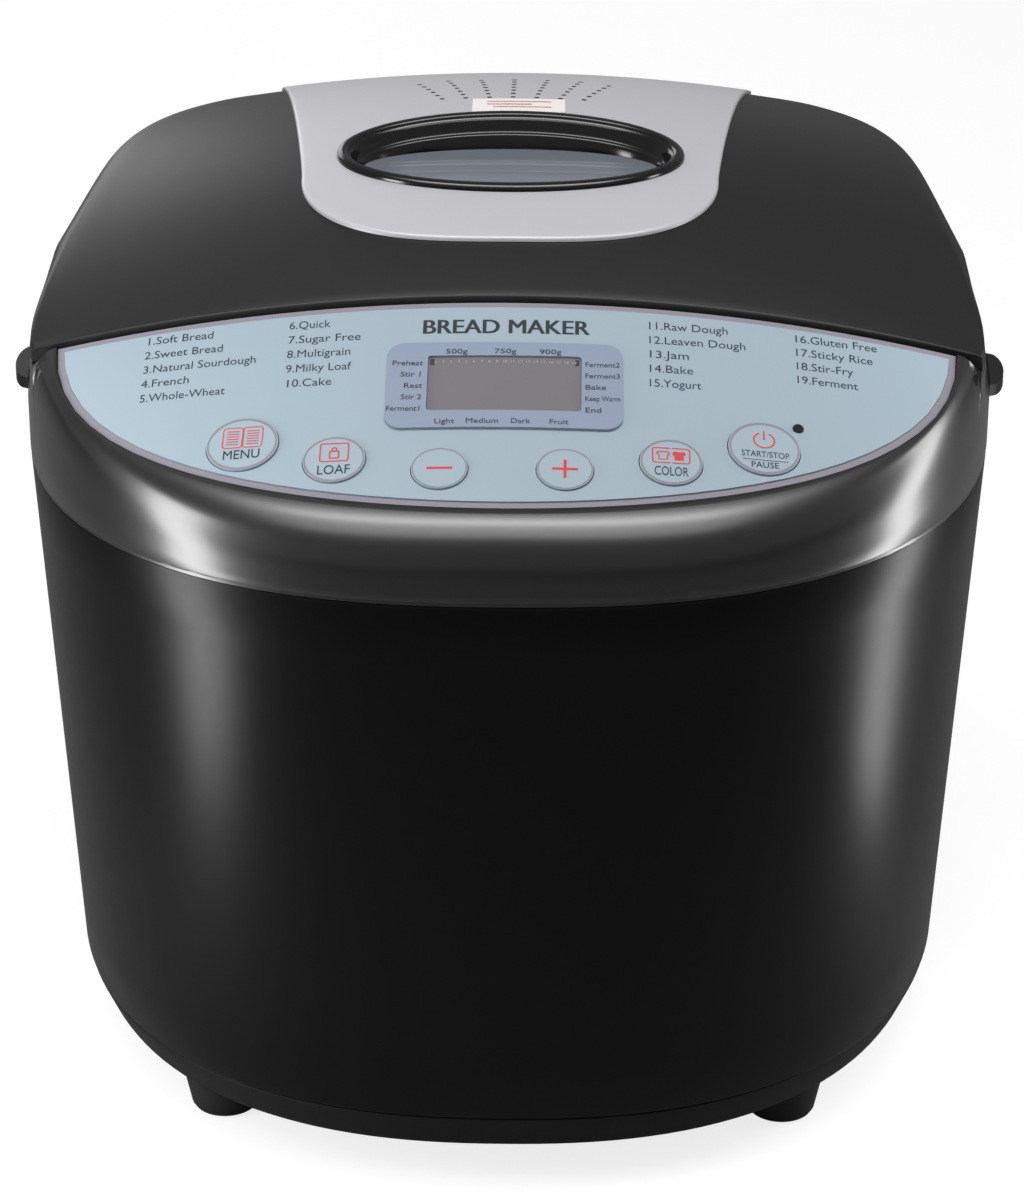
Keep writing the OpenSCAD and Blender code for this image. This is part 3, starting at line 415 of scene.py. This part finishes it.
def collar_face():
    """Lacquered face of the collar: wall, shoulder and the lip round the panel, a film over the moulding."""
    film = 0.07 * MM
    rings = [[] for _ in range(17)]
    bulk = 12 * MM
    for p, d, depth in front_rim(108):
        q = p + d * depth
        near = q - d * 2 * MM
        slope = (top(q.x, q.y) - top(near.x, near.y)) / (2 * MM)
        high = top(q.x, q.y)
        corner = high - slope * depth
        out = outward(HALF_W, HALF_D, PLAN, p)
        wall = [(-film, SEAM + 1.3 * MM), (-film, mix(SEAM, corner - bulk, 0.5))]
        wall = [(1.1 * MM, SEAM + 0.05 * MM), (0.3 * MM, SEAM + 0.4 * MM)] + wall
        bow = []
        for k in range(13):
            s = k / 12
            level = bend(0, 0, depth, s)
            height = bend(corner - bulk, corner, high, s)
            bow.append((level - film, height + film * s))
        for ring, (inset, z) in zip(rings, wall + bow):
            at = p + d * inset
            ring.append(Vector((at.x, at.y, z)))
    t0 = ATAN(LINE_Y, half_width(LINE_Y))
    for i in range(121):
        p = bulge(HALF_W, HALF_D, PLAN, mix(t0, math.pi - t0, i / 120))
        out = outward(HALF_W, HALF_D, PLAN, p)
        behind = abs(p.x) < 95 * MM and p.y > 0
        rim = DECK - 6 * MM if behind else DECK
        steps = [(1.1 * MM, SEAM + 0.05 * MM), (0.3 * MM, SEAM + 0.4 * MM)]
        steps += [(-film, SEAM + 1.3 * MM + (rim - SEAM - 2.0 * MM) * k / 12) for k in range(13)]
        steps += [(0.25 * MM, rim - 0.2 * MM), (0.9 * MM, rim)]
        for ring, (inset, z) in zip(rings, steps):
            at = p - out * (inset + lean(p.y) * max(0, (z - DECK) / (18 * MM) + 1))
            ring.append(Vector((at.x, at.y, z)))
    made = piece("collar_face", skin(rings), "housing", collar_lacquer, 50)
    wall = made.modifiers.new("film", "SOLIDIFY")
    wall.thickness = 0.35 * MM
    wall.offset = -1


body_skin()
base_skin()
collar_face()


# ---- Lid -------------------------------------------------------------------

LID_Y = LINE_Y + 1 * MM
LID_Z = DECK + 0.6 * MM


def lid_inset(y):
    s = min(1, max(0, (y - LINE_Y) / (0.6752 * HALF_D)))
    rear = 5.2 * smooth_step((y / HALF_D * 157 - 105) / 35)
    return (max(1.2, 20 * math.sin(math.pi / 2 * s)) - rear) * MM


def lid_outline(sides, front):
    """The lid's outline: plan point, way in, and how far in its top edge lies."""
    t0 = ATAN(LID_Y, half_width(LID_Y))
    line = []
    for i in range(sides + 1):
        p = bulge(HALF_W, HALF_D, PLAN, mix(t0, math.pi - t0, i / sides))
        way = -outward(HALF_W, HALF_D, PLAN, p)
        line.append((p + way * lean(p.y), way, lid_inset(p.y) - lean(p.y)))
    x = half_width(LID_Y)
    for i in range(1, front):
        line.append((Vector((mix(-x, x, i / front), LID_Y)), Vector((0, 1)), 1.2 * MM))
    return line


def oval(p, a, b):
    """Where the line from the window's middle to p crosses its oval."""
    t = ATAN((p.y - WIN_Y) / b, p.x / a)
    return Vector((a * math.cos(t), WIN_Y + b * math.sin(t)))


def lid_face():
    """Textured face of the lid: leaning side, rounded edge and crowned top down to the window."""
    film = 0.08 * MM
    outline = lid_outline(150, 60)
    rings = []
    for s in (0.0, 0.06, 0.3, 0.6, 0.9, 1.0, 1.15, 1.3, 1.45, 1.6, 1.75, 1.9, 2.0):
        ring = []
        for p, way, inset in outline:
            cut = min(5 * MM, 0.6 * inset)
            edge = p + way * inset
            knee = p + way * (inset - cut)
            high = top(edge.x, edge.y)
            bend_z = mix(LID_Z, high, 0.94 - 0.14 * smooth_step((inset / MM - 1.2) / 6))
            if s <= 1:
                lip = 0.5 * MM if s == 0 else 0
                at = mix(p, knee, s) + way * (lip - film)
                ring.append(Vector((at.x, at.y, mix(LID_Z, bend_z, s))))
            else:
                mid = mix(knee, edge, 0.45)
                at = bend(knee, mid, edge, s - 1) - way * film
                z = bend(bend_z, mix(bend_z, high, 0.8), high, s - 1)
                ring.append(Vector((at.x, at.y, z + film * (s - 1))))
        rings.append(ring)
    for k in range(1, 17):
        ring = []
        for p, way, inset in outline:
            edge = p + way * inset
            at = mix(edge, oval(edge, WIN_A - 2.3 * MM, WIN_B - 2.3 * MM), k / 16)
            ring.append(Vector((at.x, at.y, top(at.x, at.y) + film)))
        rings.append(ring)
    made = piece("lid_face", skin(rings), "lid", lid_abs, 50)
    wall = made.modifiers.new("film", "SOLIDIFY")
    wall.thickness = 0.35 * MM
    wall.offset = -1


REAR_Y = 0.8153 * HALF_D


def plate_outline():
    """Silver plate's outline: bowed front, sides that flare to the back, straight back edge."""
    line = []
    kx, ky = HALF_W / 145, HALF_D / 157
    for i in range(41):
        t = -math.pi / 2 + math.pi / 2 * i / 40
        line.append(Vector((62.5 * kx * abs(math.cos(t)) ** 0.72,
                            -5 * ky - 39 * ky * abs(math.sin(t)) ** 0.9)))
    for i in range(1, 31):
        s = i / 30
        line.append(Vector((mix(62.5, 78, s**1.1) * kx, mix(-5 * ky, REAR_Y - 6 * MM, s))))
    for i in range(1, 8):
        t = math.pi / 2 * i / 8
        line.append(Vector((78 * kx - 6 * MM * (1 - math.cos(t)),
                            REAR_Y - 6 * MM + 6 * MM * math.sin(t))))
    for i in range(17):
        line.append(Vector((mix(78 * kx - 6 * MM, 0, i / 16), REAR_Y)))
    left = [Vector((-p.x, p.y)) for p in reversed(line[1:-1])]
    return line + left


def plate_skin():
    """Silver plate with a rolled edge, and the window's hole."""
    line = plate_outline()
    a, b = WIN_A - 1.6 * MM, WIN_B - 1.6 * MM
    count = len(line)
    ways = []
    for i, p in enumerate(line):
        run = (line[(i + 1) % count] - line[i - 1]).normalized()
        ways.append(Vector((-run.y, run.x)))
    rings = []
    for inset, up in ((0.0, 0.25), (0.0, 0.85), (0.15, 1.2), (0.5, 1.42), (1.1, 1.48)):
        ring = [p + w * inset * MM for p, w in zip(line, ways)]
        rings.append([Vector((p.x, p.y, top(p.x, p.y) + up * MM)) for p in ring])
    inner = [p + w * 1.1 * MM for p, w in zip(line, ways)]
    for k in range(1, 15):
        ring = [mix(p, oval(p, a, b), k / 14) for p in inner]
        rings.append([Vector((p.x, p.y, top(p.x, p.y) + 1.48 * MM)) for p in ring])
    for k in (14, 10, 6, 2):
        ring = [mix(p, oval(p, a, b), k / 14) for p in inner]
        rings.append([Vector((p.x, p.y, top(p.x, p.y) + 0.3 * MM)) for p in ring])
    made = piece("plate_skin", skin(rings, closed=True), "lid", silver_lacquer)
    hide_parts("lid_panel")


def vent_rows():
    """Steam vents: seven rows of small holes that fan out to the back, each a flat near-black disc of painted
    shade that stands in for the hole's shadowed inside.
    """
    bm = bmesh.new()
    for column in range(-3, 4):
        for row in range(6 if abs(column) == 3 else 7):
            x = column * (7.4 + 0.53 * row) * MM
            y = (52.5 + row * 4.7 - abs(column) * 0.5) * MM
            spot = bmesh.ops.create_circle(bm, cap_ends=True, segments=14, radius=0.8 * MM)["verts"]
            bmesh.ops.translate(bm, verts=spot, vec=(x, y, 0))
    for vert in bm.verts:
        vert.co.z = top(vert.co.x, vert.co.y) + 1.53 * MM
    # The discs are painted shade where the holes would be dark inside.
    piece("vent_hole_painted_shade", bm, "lid", vent_painted_shade)


def window_ring(gap, up=None, z=None, count=144):
    ring = []
    for i in range(count):
        t = math.tau * i / count
        x, y = (WIN_A + gap * MM) * math.cos(t), WIN_Y + (WIN_B + gap * MM) * math.sin(t)
        ring.append(Vector((x, y, top(x, y) + up * MM if z is None else z)))
    return ring


def bezel_skin():
    """Polished window surround: rolled rim, deep bowl wall, and a narrow ledge over the glass."""
    rings = [window_ring(-2.9, z=GLASS - 4 * MM), window_ring(-2.9, 1.6), window_ring(0, 1.5),
             window_ring(0, 2.2)]
    for k in range(1, 9):
        t = math.pi * k / 8
        rings.append(window_ring(-1.7 + 1.7 * math.cos(t), 2.2 + 1.1 * math.sin(t)))
    rings += [window_ring(-4.0, 1.9)]
    for gap, up, least in ((-4.6, 0.9, 2.4), (-5.2, -0.7, 1.8), (-5.6, -1.8, 1.45), (-6.0, -2.1, 1.3),
                           (-6.7, -2.3, 1.1), (-7.0, -2.6, 1.0), (-7.3, -3.4, 0.8)):
        rings.append([Vector((p.x, p.y, max(p.z, GLASS + least * MM))) for p in window_ring(gap, up)])
    rings += [window_ring(-7.7, z=GLASS + 0.1 * MM)]
    rings += [window_ring(-5.8, z=GLASS + 0.1 * MM), window_ring(-5.8, z=GLASS - 4 * MM)]
    made = piece("bezel_skin", skin(rings, closed=True), "lid", bezel_abs)
    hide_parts("lid_bezel")


lid_face()
plate_skin()
vent_rows()
bezel_skin()


# ---- Panel print -----------------------------------------------------------


def drop(x):
    return math.sqrt(CROWN_P**2 - x * x) - CROWN_P


def up_slope(x, y):
    """Distance up the panel's slope to a plan point."""
    return (y - LINE_Y + drop(x) * math.sin(SLOPE)) / math.cos(SLOPE)


def panel_point(x, v, w):
    """Panel coordinates to the frame: x across, v up the slope, w out of the crowned face."""
    tilt = math.asin(x / CROWN_P)
    x, w = x + w * math.sin(tilt), drop(x) + w * math.cos(tilt)
    y = LINE_Y + v * math.cos(SLOPE) - w * math.sin(SLOPE)
    return Vector((x, y, LINE_Z + v * math.sin(SLOPE) + w * math.cos(SLOPE)))


class Print:
    """One colour of ink on one body: marks are gathered, then made a single thin piece."""

    def __init__(self, name, body, ink, slot):
        self.name, self.body, self.ink, self.slot = name, body, ink, slot
        self.bm = bmesh.new()

    def stamp(self, curve, x, y, lift, turn=0.0, length=None):
        """Lays a flat curve, drawn in millimetres, on the panel with its origin at plan point x, y."""
        holder = bpy.data.objects.new("stamp", curve)
        mesh = bpy.data.meshes.new_from_object(holder)
        x0, v0 = x * MM, up_slope(x * MM, y * MM)
        c, s = math.cos(turn), math.sin(turn)
        thin = 0.12 if curve.bevel_depth else 1.0
        across = [vert.co.x for vert in mesh.vertices]
        fit = length / (max(across) - min(across)) if length else 1.0
        for vert in mesh.vertices:
            px, py = vert.co.x * fit * c - vert.co.y * s, vert.co.x * fit * s + vert.co.y * c
            vert.co = panel_point(x0 + px * MM, v0 + py * MM, (lift + vert.co.z * thin) * MM)
        self.bm.from_mesh(mesh)
        bpy.data.meshes.remove(mesh)
        bpy.data.objects.remove(holder)
        bpy.data.curves.remove(curve)

    def done(self):
        bmesh.ops.remove_doubles(self.bm, verts=self.bm.verts, dist=0.0005 * MM)
        piece(self.name, self.bm, self.body, self.ink)


def words(text, size, align="LEFT"):
    """Lettering of the given size in millimetres."""
    curve = bpy.data.curves.new("words", "FONT")
    curve.body = text
    curve.size = size
    curve.align_x = align
    curve.align_y = "CENTER"
    curve.extrude = 0.015
    curve.resolution_u = 3
    return curve


def lines(paths, width):
    """Drawn strokes of one width; each path is (points, closed)."""
    curve = bpy.data.curves.new("lines", "CURVE")
    curve.dimensions = "3D"
    curve.bevel_depth = width / 2
    curve.bevel_resolution = 1
    for points, closed in paths:
        spline = curve.splines.new("POLY")
        spline.points.add(len(points) - 1)
        for knot, (x, y) in zip(spline.points, points):
            knot.co = (x, y, 0, 1)
        spline.use_cyclic_u = closed
    return curve


def filled(points):
    """A solid patch of ink."""
    curve = bpy.data.curves.new("patch", "CURVE")
    curve.dimensions = "2D"
    curve.fill_mode = "BOTH"
    spline = curve.splines.new("POLY")
    spline.points.add(len(points) - 1)
    for knot, (x, y) in zip(spline.points, points):
        knot.co = (x, y, 0, 1)
    spline.use_cyclic_u = True
    return curve


def arc(r, start, end, count, cx=0.0, cy=0.0):
    return [(cx + r * math.cos(math.radians(mix(start, end, i / count))),
             cy + r * math.sin(math.radians(mix(start, end, i / count)))) for i in range(count + 1)]


def rounded(x, y, r, cx=0.0, cy=0.0):
    """Rounded rectangle of half sizes x and y."""
    points = []
    for i, (a, b) in enumerate(((1, 1), (-1, 1), (-1, -1), (1, -1))):
        points += arc(r, 90 * i, 90 * i + 90, 5, cx + a * (x - r), cy + b * (y - r))
    return points


def loaf_shape(cx, cy, s):
    """Outline of a small loaf seen end on."""
    points = [(-0.75, -1.0), (0.75, -1.0), (0.75, 0.1)]
    points += arc(0.48, -30, 120, 8, 0.62, 0.45)
    points += arc(0.48, 60, 210, 8, -0.62, 0.45)
    points += [(-0.75, 0.1)]
    return [(cx + s * x, cy + s * y) for x, y in points]


PROGRAMMES = (
    (-103.1, -73.4, -95.0, (("Soft Bread", 18.7), ("Sweet Bread", 22.5), ("Natural Sourdough", 32.2),
                            ("French", 13.7), ("Whole-Wheat", 24.2))),
    (-61.9, -74.6, -96.5,
     (("Quick", 11.8), ("Sugar Free", 20.6), ("Multigrain", 18.0), ("Milky Loaf", 18.5),
                           ("Cake", 12.5))),
    (40.0, -75.9, -97.4, (("Raw Dough", 22.4), ("Leaven Dough", 27.3), ("Jam", 11.0), ("Bake", 12.2),
                          ("Yogurt", 14.5))),
    (81.8, -74.6, -90.0,
     (("Gluten Free", 23.4), ("Sticky Rice", 21.9), ("Stir-Fry", 16.1), ("Ferment", 17.2))),
)


def panel_words():
    """Numbered programme list, the heading, and the legends round the display."""
    navy = Print("panel_words", "housing", navy_ink, "panel_blue")
    number = 1
    for x, first, last, names in PROGRAMMES:
        for i, (name, length) in enumerate(names):
            y = mix(first, last, i / (len(names) - 1))
            navy.stamp(words(f"{number}.{name}", 4.4), x, y, 0.03, 0.0, length)
            number += 1
    for step in (-0.2, 0.0, 0.2):
        navy.stamp(words("BREAD MAKER", 8.2, "CENTER"), step, -78.7, 0.03 + 0.01 * step, 0.0, 47.0)
    lift = 0.96
    for i, (name,
            length) in enumerate((("Preheat", 8.6), ("Stir 1", 5.6), ("Rest", 5.1), ("Stir 2", 5.7),
                                        ("Ferment1", 9.2))):
        navy.stamp(words(name, 2.9, "RIGHT"), -22.9, -92.8 - 4.2 * i, lift, -0.03, length)
    for i, (name,
            length) in enumerate((("Ferment2", 9.6), ("Ferment3", 9.6), ("Bake", 5.7),
                                  ("Keep Warm", 9.7),
                                        ("End", 4.4))):
        navy.stamp(words(name, 2.8), 22.5, -93.0 - 4.2 * i, lift, 0.03, length)
    for x, name in ((-13.6, "500g"), (0.1, "750g"), (12.8, "900g")):
        navy.stamp(words(name, 2.7, "CENTER"), x, -88.7, lift, 0.0, 6.1)
    for x, name, length in ((-16.4, "Light", 5.5), (-5.9, "Medium", 8.9), (4.7, "Dark", 5.3),
                            (15.3, "Fruit", 5.2)):
        navy.stamp(words(name, 2.8, "CENTER"), x, -114.4, lift, 0.0, length)
    navy.done()


def display_marks():
    """Dark annunciator strip along the top of the display, with a row of pale segments."""
    strip = Print("display_strip", "housing", lcd_dark, "lcd_glass")
    strip.stamp(filled(rounded(21.0, 1.25, 0.2)), 0, -92.0, 0.34)
    strip.done()
    marks = Print("display_segments", "housing", lcd_pale, "lcd_glass")
    for i in range(19):
        marks.stamp(words(str(i + 1), 1.5, "CENTER"), -19.4 + 2.16 * i, -92.0, 0.37)
    marks.done()


KEYS = {
    "key_menu": (-72.2, -117.5, 10.1, 0.85), "key_loaf": (-46.3, -126.0, 8.7, 0.65),
    "key_minus": (-17.2, -130.8, 7.8, 0.45), "key_plus": (17.2, -130.8, 7.8, 0.45),
    "key_color": (46.3, -126.0, 8.7, 0.7), "key_start": (72.2, -117.5, 10.1, 0.85),
}
FACE = 0.6


def key_ring(name):
    """Grey ring printed just inside a key's edge."""
    x, y, r, width = KEYS[name]
    ring = Print(name + "_ring", name, grey_ink, "key_blue")
    ring.stamp(lines([(arc(r - 0.15 - width / 2, 0, 355, 71), True)], width), x, y, FACE)
    ring.done()


def key_icons():
    """Red symbols and navy words on the keys."""
    menu = Print("key_menu_icon", "key_menu", red_ink, "key_blue")
    book = [(rounded(2.7, 3.9, 1.0, 2.8, 2.5), True), (rounded(2.7, 3.9, 1.0, -2.8, 2.5), True)]
    for i in range(6):
        for side in (-2.8, 2.8):
            book.append(([(side - 1.7, 0.0 + 1.0 * i), (side + 1.7, 0.0 + 1.0 * i)], False))
    x, y = KEYS["key_menu"][:2]
    menu.stamp(lines(book, 0.34), x, y, FACE + 0.02, -0.02)
    menu.done()
    said = Print("key_menu_word", "key_menu", navy_ink, "key_blue")
    said.stamp(words("MENU", 5.0, "CENTER"), x, y - 3.9, FACE + 0.02, 0.0, 10.1)
    said.done()

    x, y = KEYS["key_loaf"][:2]
    weight = Print("key_loaf_icon", "key_loaf", red_ink, "key_blue")
    shapes = [(rounded(3.9, 3.4, 0.7, 0, 2.6), True), (rounded(1.25, 1.3, 0.2, 0, 1.7), True),
              (arc(0.65, 0, 340, 17, 0, 3.7), True)]
    weight.stamp(lines(shapes, 0.42), x, y, FACE + 0.02)
    weight.done()
    said = Print("key_loaf_word", "key_loaf", navy_ink, "key_blue")
    said.stamp(words("LOAF", 5.0, "CENTER"), x, y - 3.9, FACE + 0.02, 0.0, 8.9)
    said.done()

    for name, strokes in (("key_minus", [([(-3.5, 0), (3.5, 0)], False)]),
                          ("key_plus",
                           [([(-3.5, 0), (3.5, 0)], False), ([(0, -3.4), (0, 3.4)], False)])):
        sign = Print(name + "_sign", name, red_ink, "key_blue")
        sign.stamp(lines(strokes, 0.85), *KEYS[name][:2], FACE + 0.02)
        sign.done()

    x, y = KEYS["key_color"][:2]
    crust = Print("key_color_icon", "key_color", red_ink, "key_blue")
    frame_left = [(-0.3, 5.2), (-4.6, 5.2), (-5.1, 4.7), (-5.1, 0.1), (-4.6, -0.4), (-0.3, -0.4)]
    frame_right = [(-px, py) for px, py in frame_left]
    crust.stamp(lines([(frame_left, False), (frame_right, False),
                       (loaf_shape(-2.2, 2.4, 1.55), True)], 0.42),
                x, y, FACE + 0.02)
    crust.stamp(filled(loaf_shape(2.2, 2.4, 1.7)), x, y, FACE + 0.03)
    crust.done()
    said = Print("key_color_word", "key_color", navy_ink, "key_blue")
    said.stamp(words("COLOR", 5.0, "CENTER"), x, y - 3.5, FACE + 0.02, 0.0, 9.3)
    said.done()

    x, y = KEYS["key_start"][:2]
    power = Print("key_start_icon", "key_start", red_ink, "key_blue")
    power.stamp(lines([(arc(2.9, 118, 422, 30, 0, 3.1), False), ([(0, 3.2), (0, 6.6)], False)], 0.45),
                x, y, FACE + 0.02)
    power.done()
    said = Print("key_start_word", "key_start", navy_ink, "key_blue")
    said.stamp(words("START/STOP", 3.2, "CENTER"), x + 0.2, y - 2.3, FACE + 0.02, 0.0, 13.2)
    said.stamp(lines([([(-6.3, 0), (6.3, 0)], False)], 0.24), x + 0.2, y - 4.3, FACE + 0.02)
    said.stamp(words("PAUSE", 3.2, "CENTER"), x, y - 6.1, FACE + 0.02, 0.03, 7.6)
    said.done()


def label_print():
    """Pink bars on the blank label, where a maker would put small print."""
    bm = bmesh.new()
    for i, (x, width) in enumerate(((2, 20), (-1, 14), (3, 18))):
        bar = bmesh.ops.create_grid(bm, x_segments=8, y_segments=1, size=0.5)["verts"]
        bmesh.ops.scale(bm, verts=bar, vec=(width * MM, 0.9 * MM, 1))
        bmesh.ops.translate(bm, verts=bar, vec=(x * MM, (46.4 - 2.9 * i) * MM, 0))
    for vert in bm.verts:
        vert.co.z = top(vert.co.x, vert.co.y) + 1.76 * MM
    piece("label_bars", bm, "lid", label_tint)


panel_words()
display_marks()
for key in KEYS:
    key_ring(key)
key_icons()
label_print()


# ---- Floor, light and camera -----------------------------------------------


def floor_sheet():
    bm = bmesh.new()
    bmesh.ops.create_grid(bm, x_segments=2, y_segments=2, size=9)
    mesh = bpy.data.meshes.new("floor")
    bm.to_mesh(mesh)
    bm.free()
    sheet = bpy.data.objects.new("floor", mesh)
    bpy.context.scene.collection.objects.link(sheet)
    paper = finish_of("floor_matt_paper", "#8c8c8c", 0.8, 3.0, 0.02, 0.004, 0.0,
                      **{"Specular IOR Level": 0.1, "Emission Color": rgb("#ffffff")})
    shader = next(node for node in paper.node_tree.nodes if node.type == "BSDF_PRINCIPLED")
    seen = add(paper.node_tree, "ShaderNodeLightPath")
    glow = add(paper.node_tree, "ShaderNodeMath", {"operation": "MULTIPLY", 1: 0.8},
               {0: seen.outputs["Is Camera Ray"]})
    paper.node_tree.links.new(glow.outputs[0], shader.inputs["Emission Strength"])
    mesh.materials.append(paper)


def softbox(name, place, aim, width, height, watts):
    lamp = bpy.data.lights.new(name, "AREA")
    lamp.shape = "RECTANGLE"
    lamp.size, lamp.size_y = width, height
    lamp.energy = watts
    made = bpy.data.objects.new(name, lamp)
    bpy.context.scene.collection.objects.link(made)
    made.location = place
    made.rotation_mode = "QUATERNION"
    made.rotation_quaternion = (Vector(aim) - Vector(place)).to_track_quat("-Z", "Y")
    made.visible_camera = False
    return made


def studio():
    world = bpy.data.worlds.new("studio")
    bpy.context.scene.world = world
    world.use_nodes = True
    sky = world.node_tree.nodes["Background"]
    sky.inputs["Color"].default_value = rgb("#ffffff")
    sky.inputs["Strength"].default_value = 0.30
    softbox("left_softbox", (-0.27, -0.21, 0.16), (-0.08, -0.14, 0.14), 0.07, 0.32, 0.8)
    softbox("right_softbox", (0.27, -0.08, 0.16), (0.1, -0.12, 0.14), 0.05, 0.32, 0.4)
    softbox("overhead_softbox", (0, -0.35, 1.5), (0, -0.05, 0.2), 1.4, 0.9, 10)
    softbox("overhead_strip", (0, -0.16, 1.3), (0, -0.12, 0.2), 0.9, 0.16, 3.6)
    softbox("rear_softbox", (-0.9, 1.5, 0.9), (0, 0, 0.25), 1.0, 0.9, 6)


# Camera: distance from the aim point in millimetres, angles in degrees, focal length in millimetres on
# a 36 mm sensor, and the frame's downward shift as a share of that sensor.
AIM = (0.75, 0, 150)
DISTANCE, FOCAL, SENSOR, SHIFT = 1170.5, 112.125, 36, -0.0698333
PITCH, YAW, ROLL = 23.4, 0.872, 0.139


def camera():
    pitch, yaw, roll = (math.radians(angle) for angle in (PITCH, YAW, ROLL))
    back = Vector((math.sin(yaw) * math.cos(pitch), -math.cos(yaw) * math.cos(pitch), math.sin(pitch)))
    lens = bpy.data.cameras.new("camera")
    made = bpy.data.objects.new("camera", lens)
    bpy.context.scene.collection.objects.link(made)
    made.location = (Vector(AIM) + back * DISTANCE) * MM
    made.rotation_mode = "QUATERNION"
    made.rotation_quaternion = (-back).to_track_quat("-Z", "Y") @ Matrix.Rotation(roll, 3,
                                                                                  "Z").to_quaternion()
    lens.sensor_fit = "AUTO"
    lens.sensor_width = SENSOR
    lens.lens = FOCAL
    lens.shift_y = SHIFT
    lens.clip_start, lens.clip_end = 0.05, 50
    bpy.context.scene.camera = made


floor_sheet()
studio()
camera()
bpy.context.scene.view_settings.view_transform = "Standard"
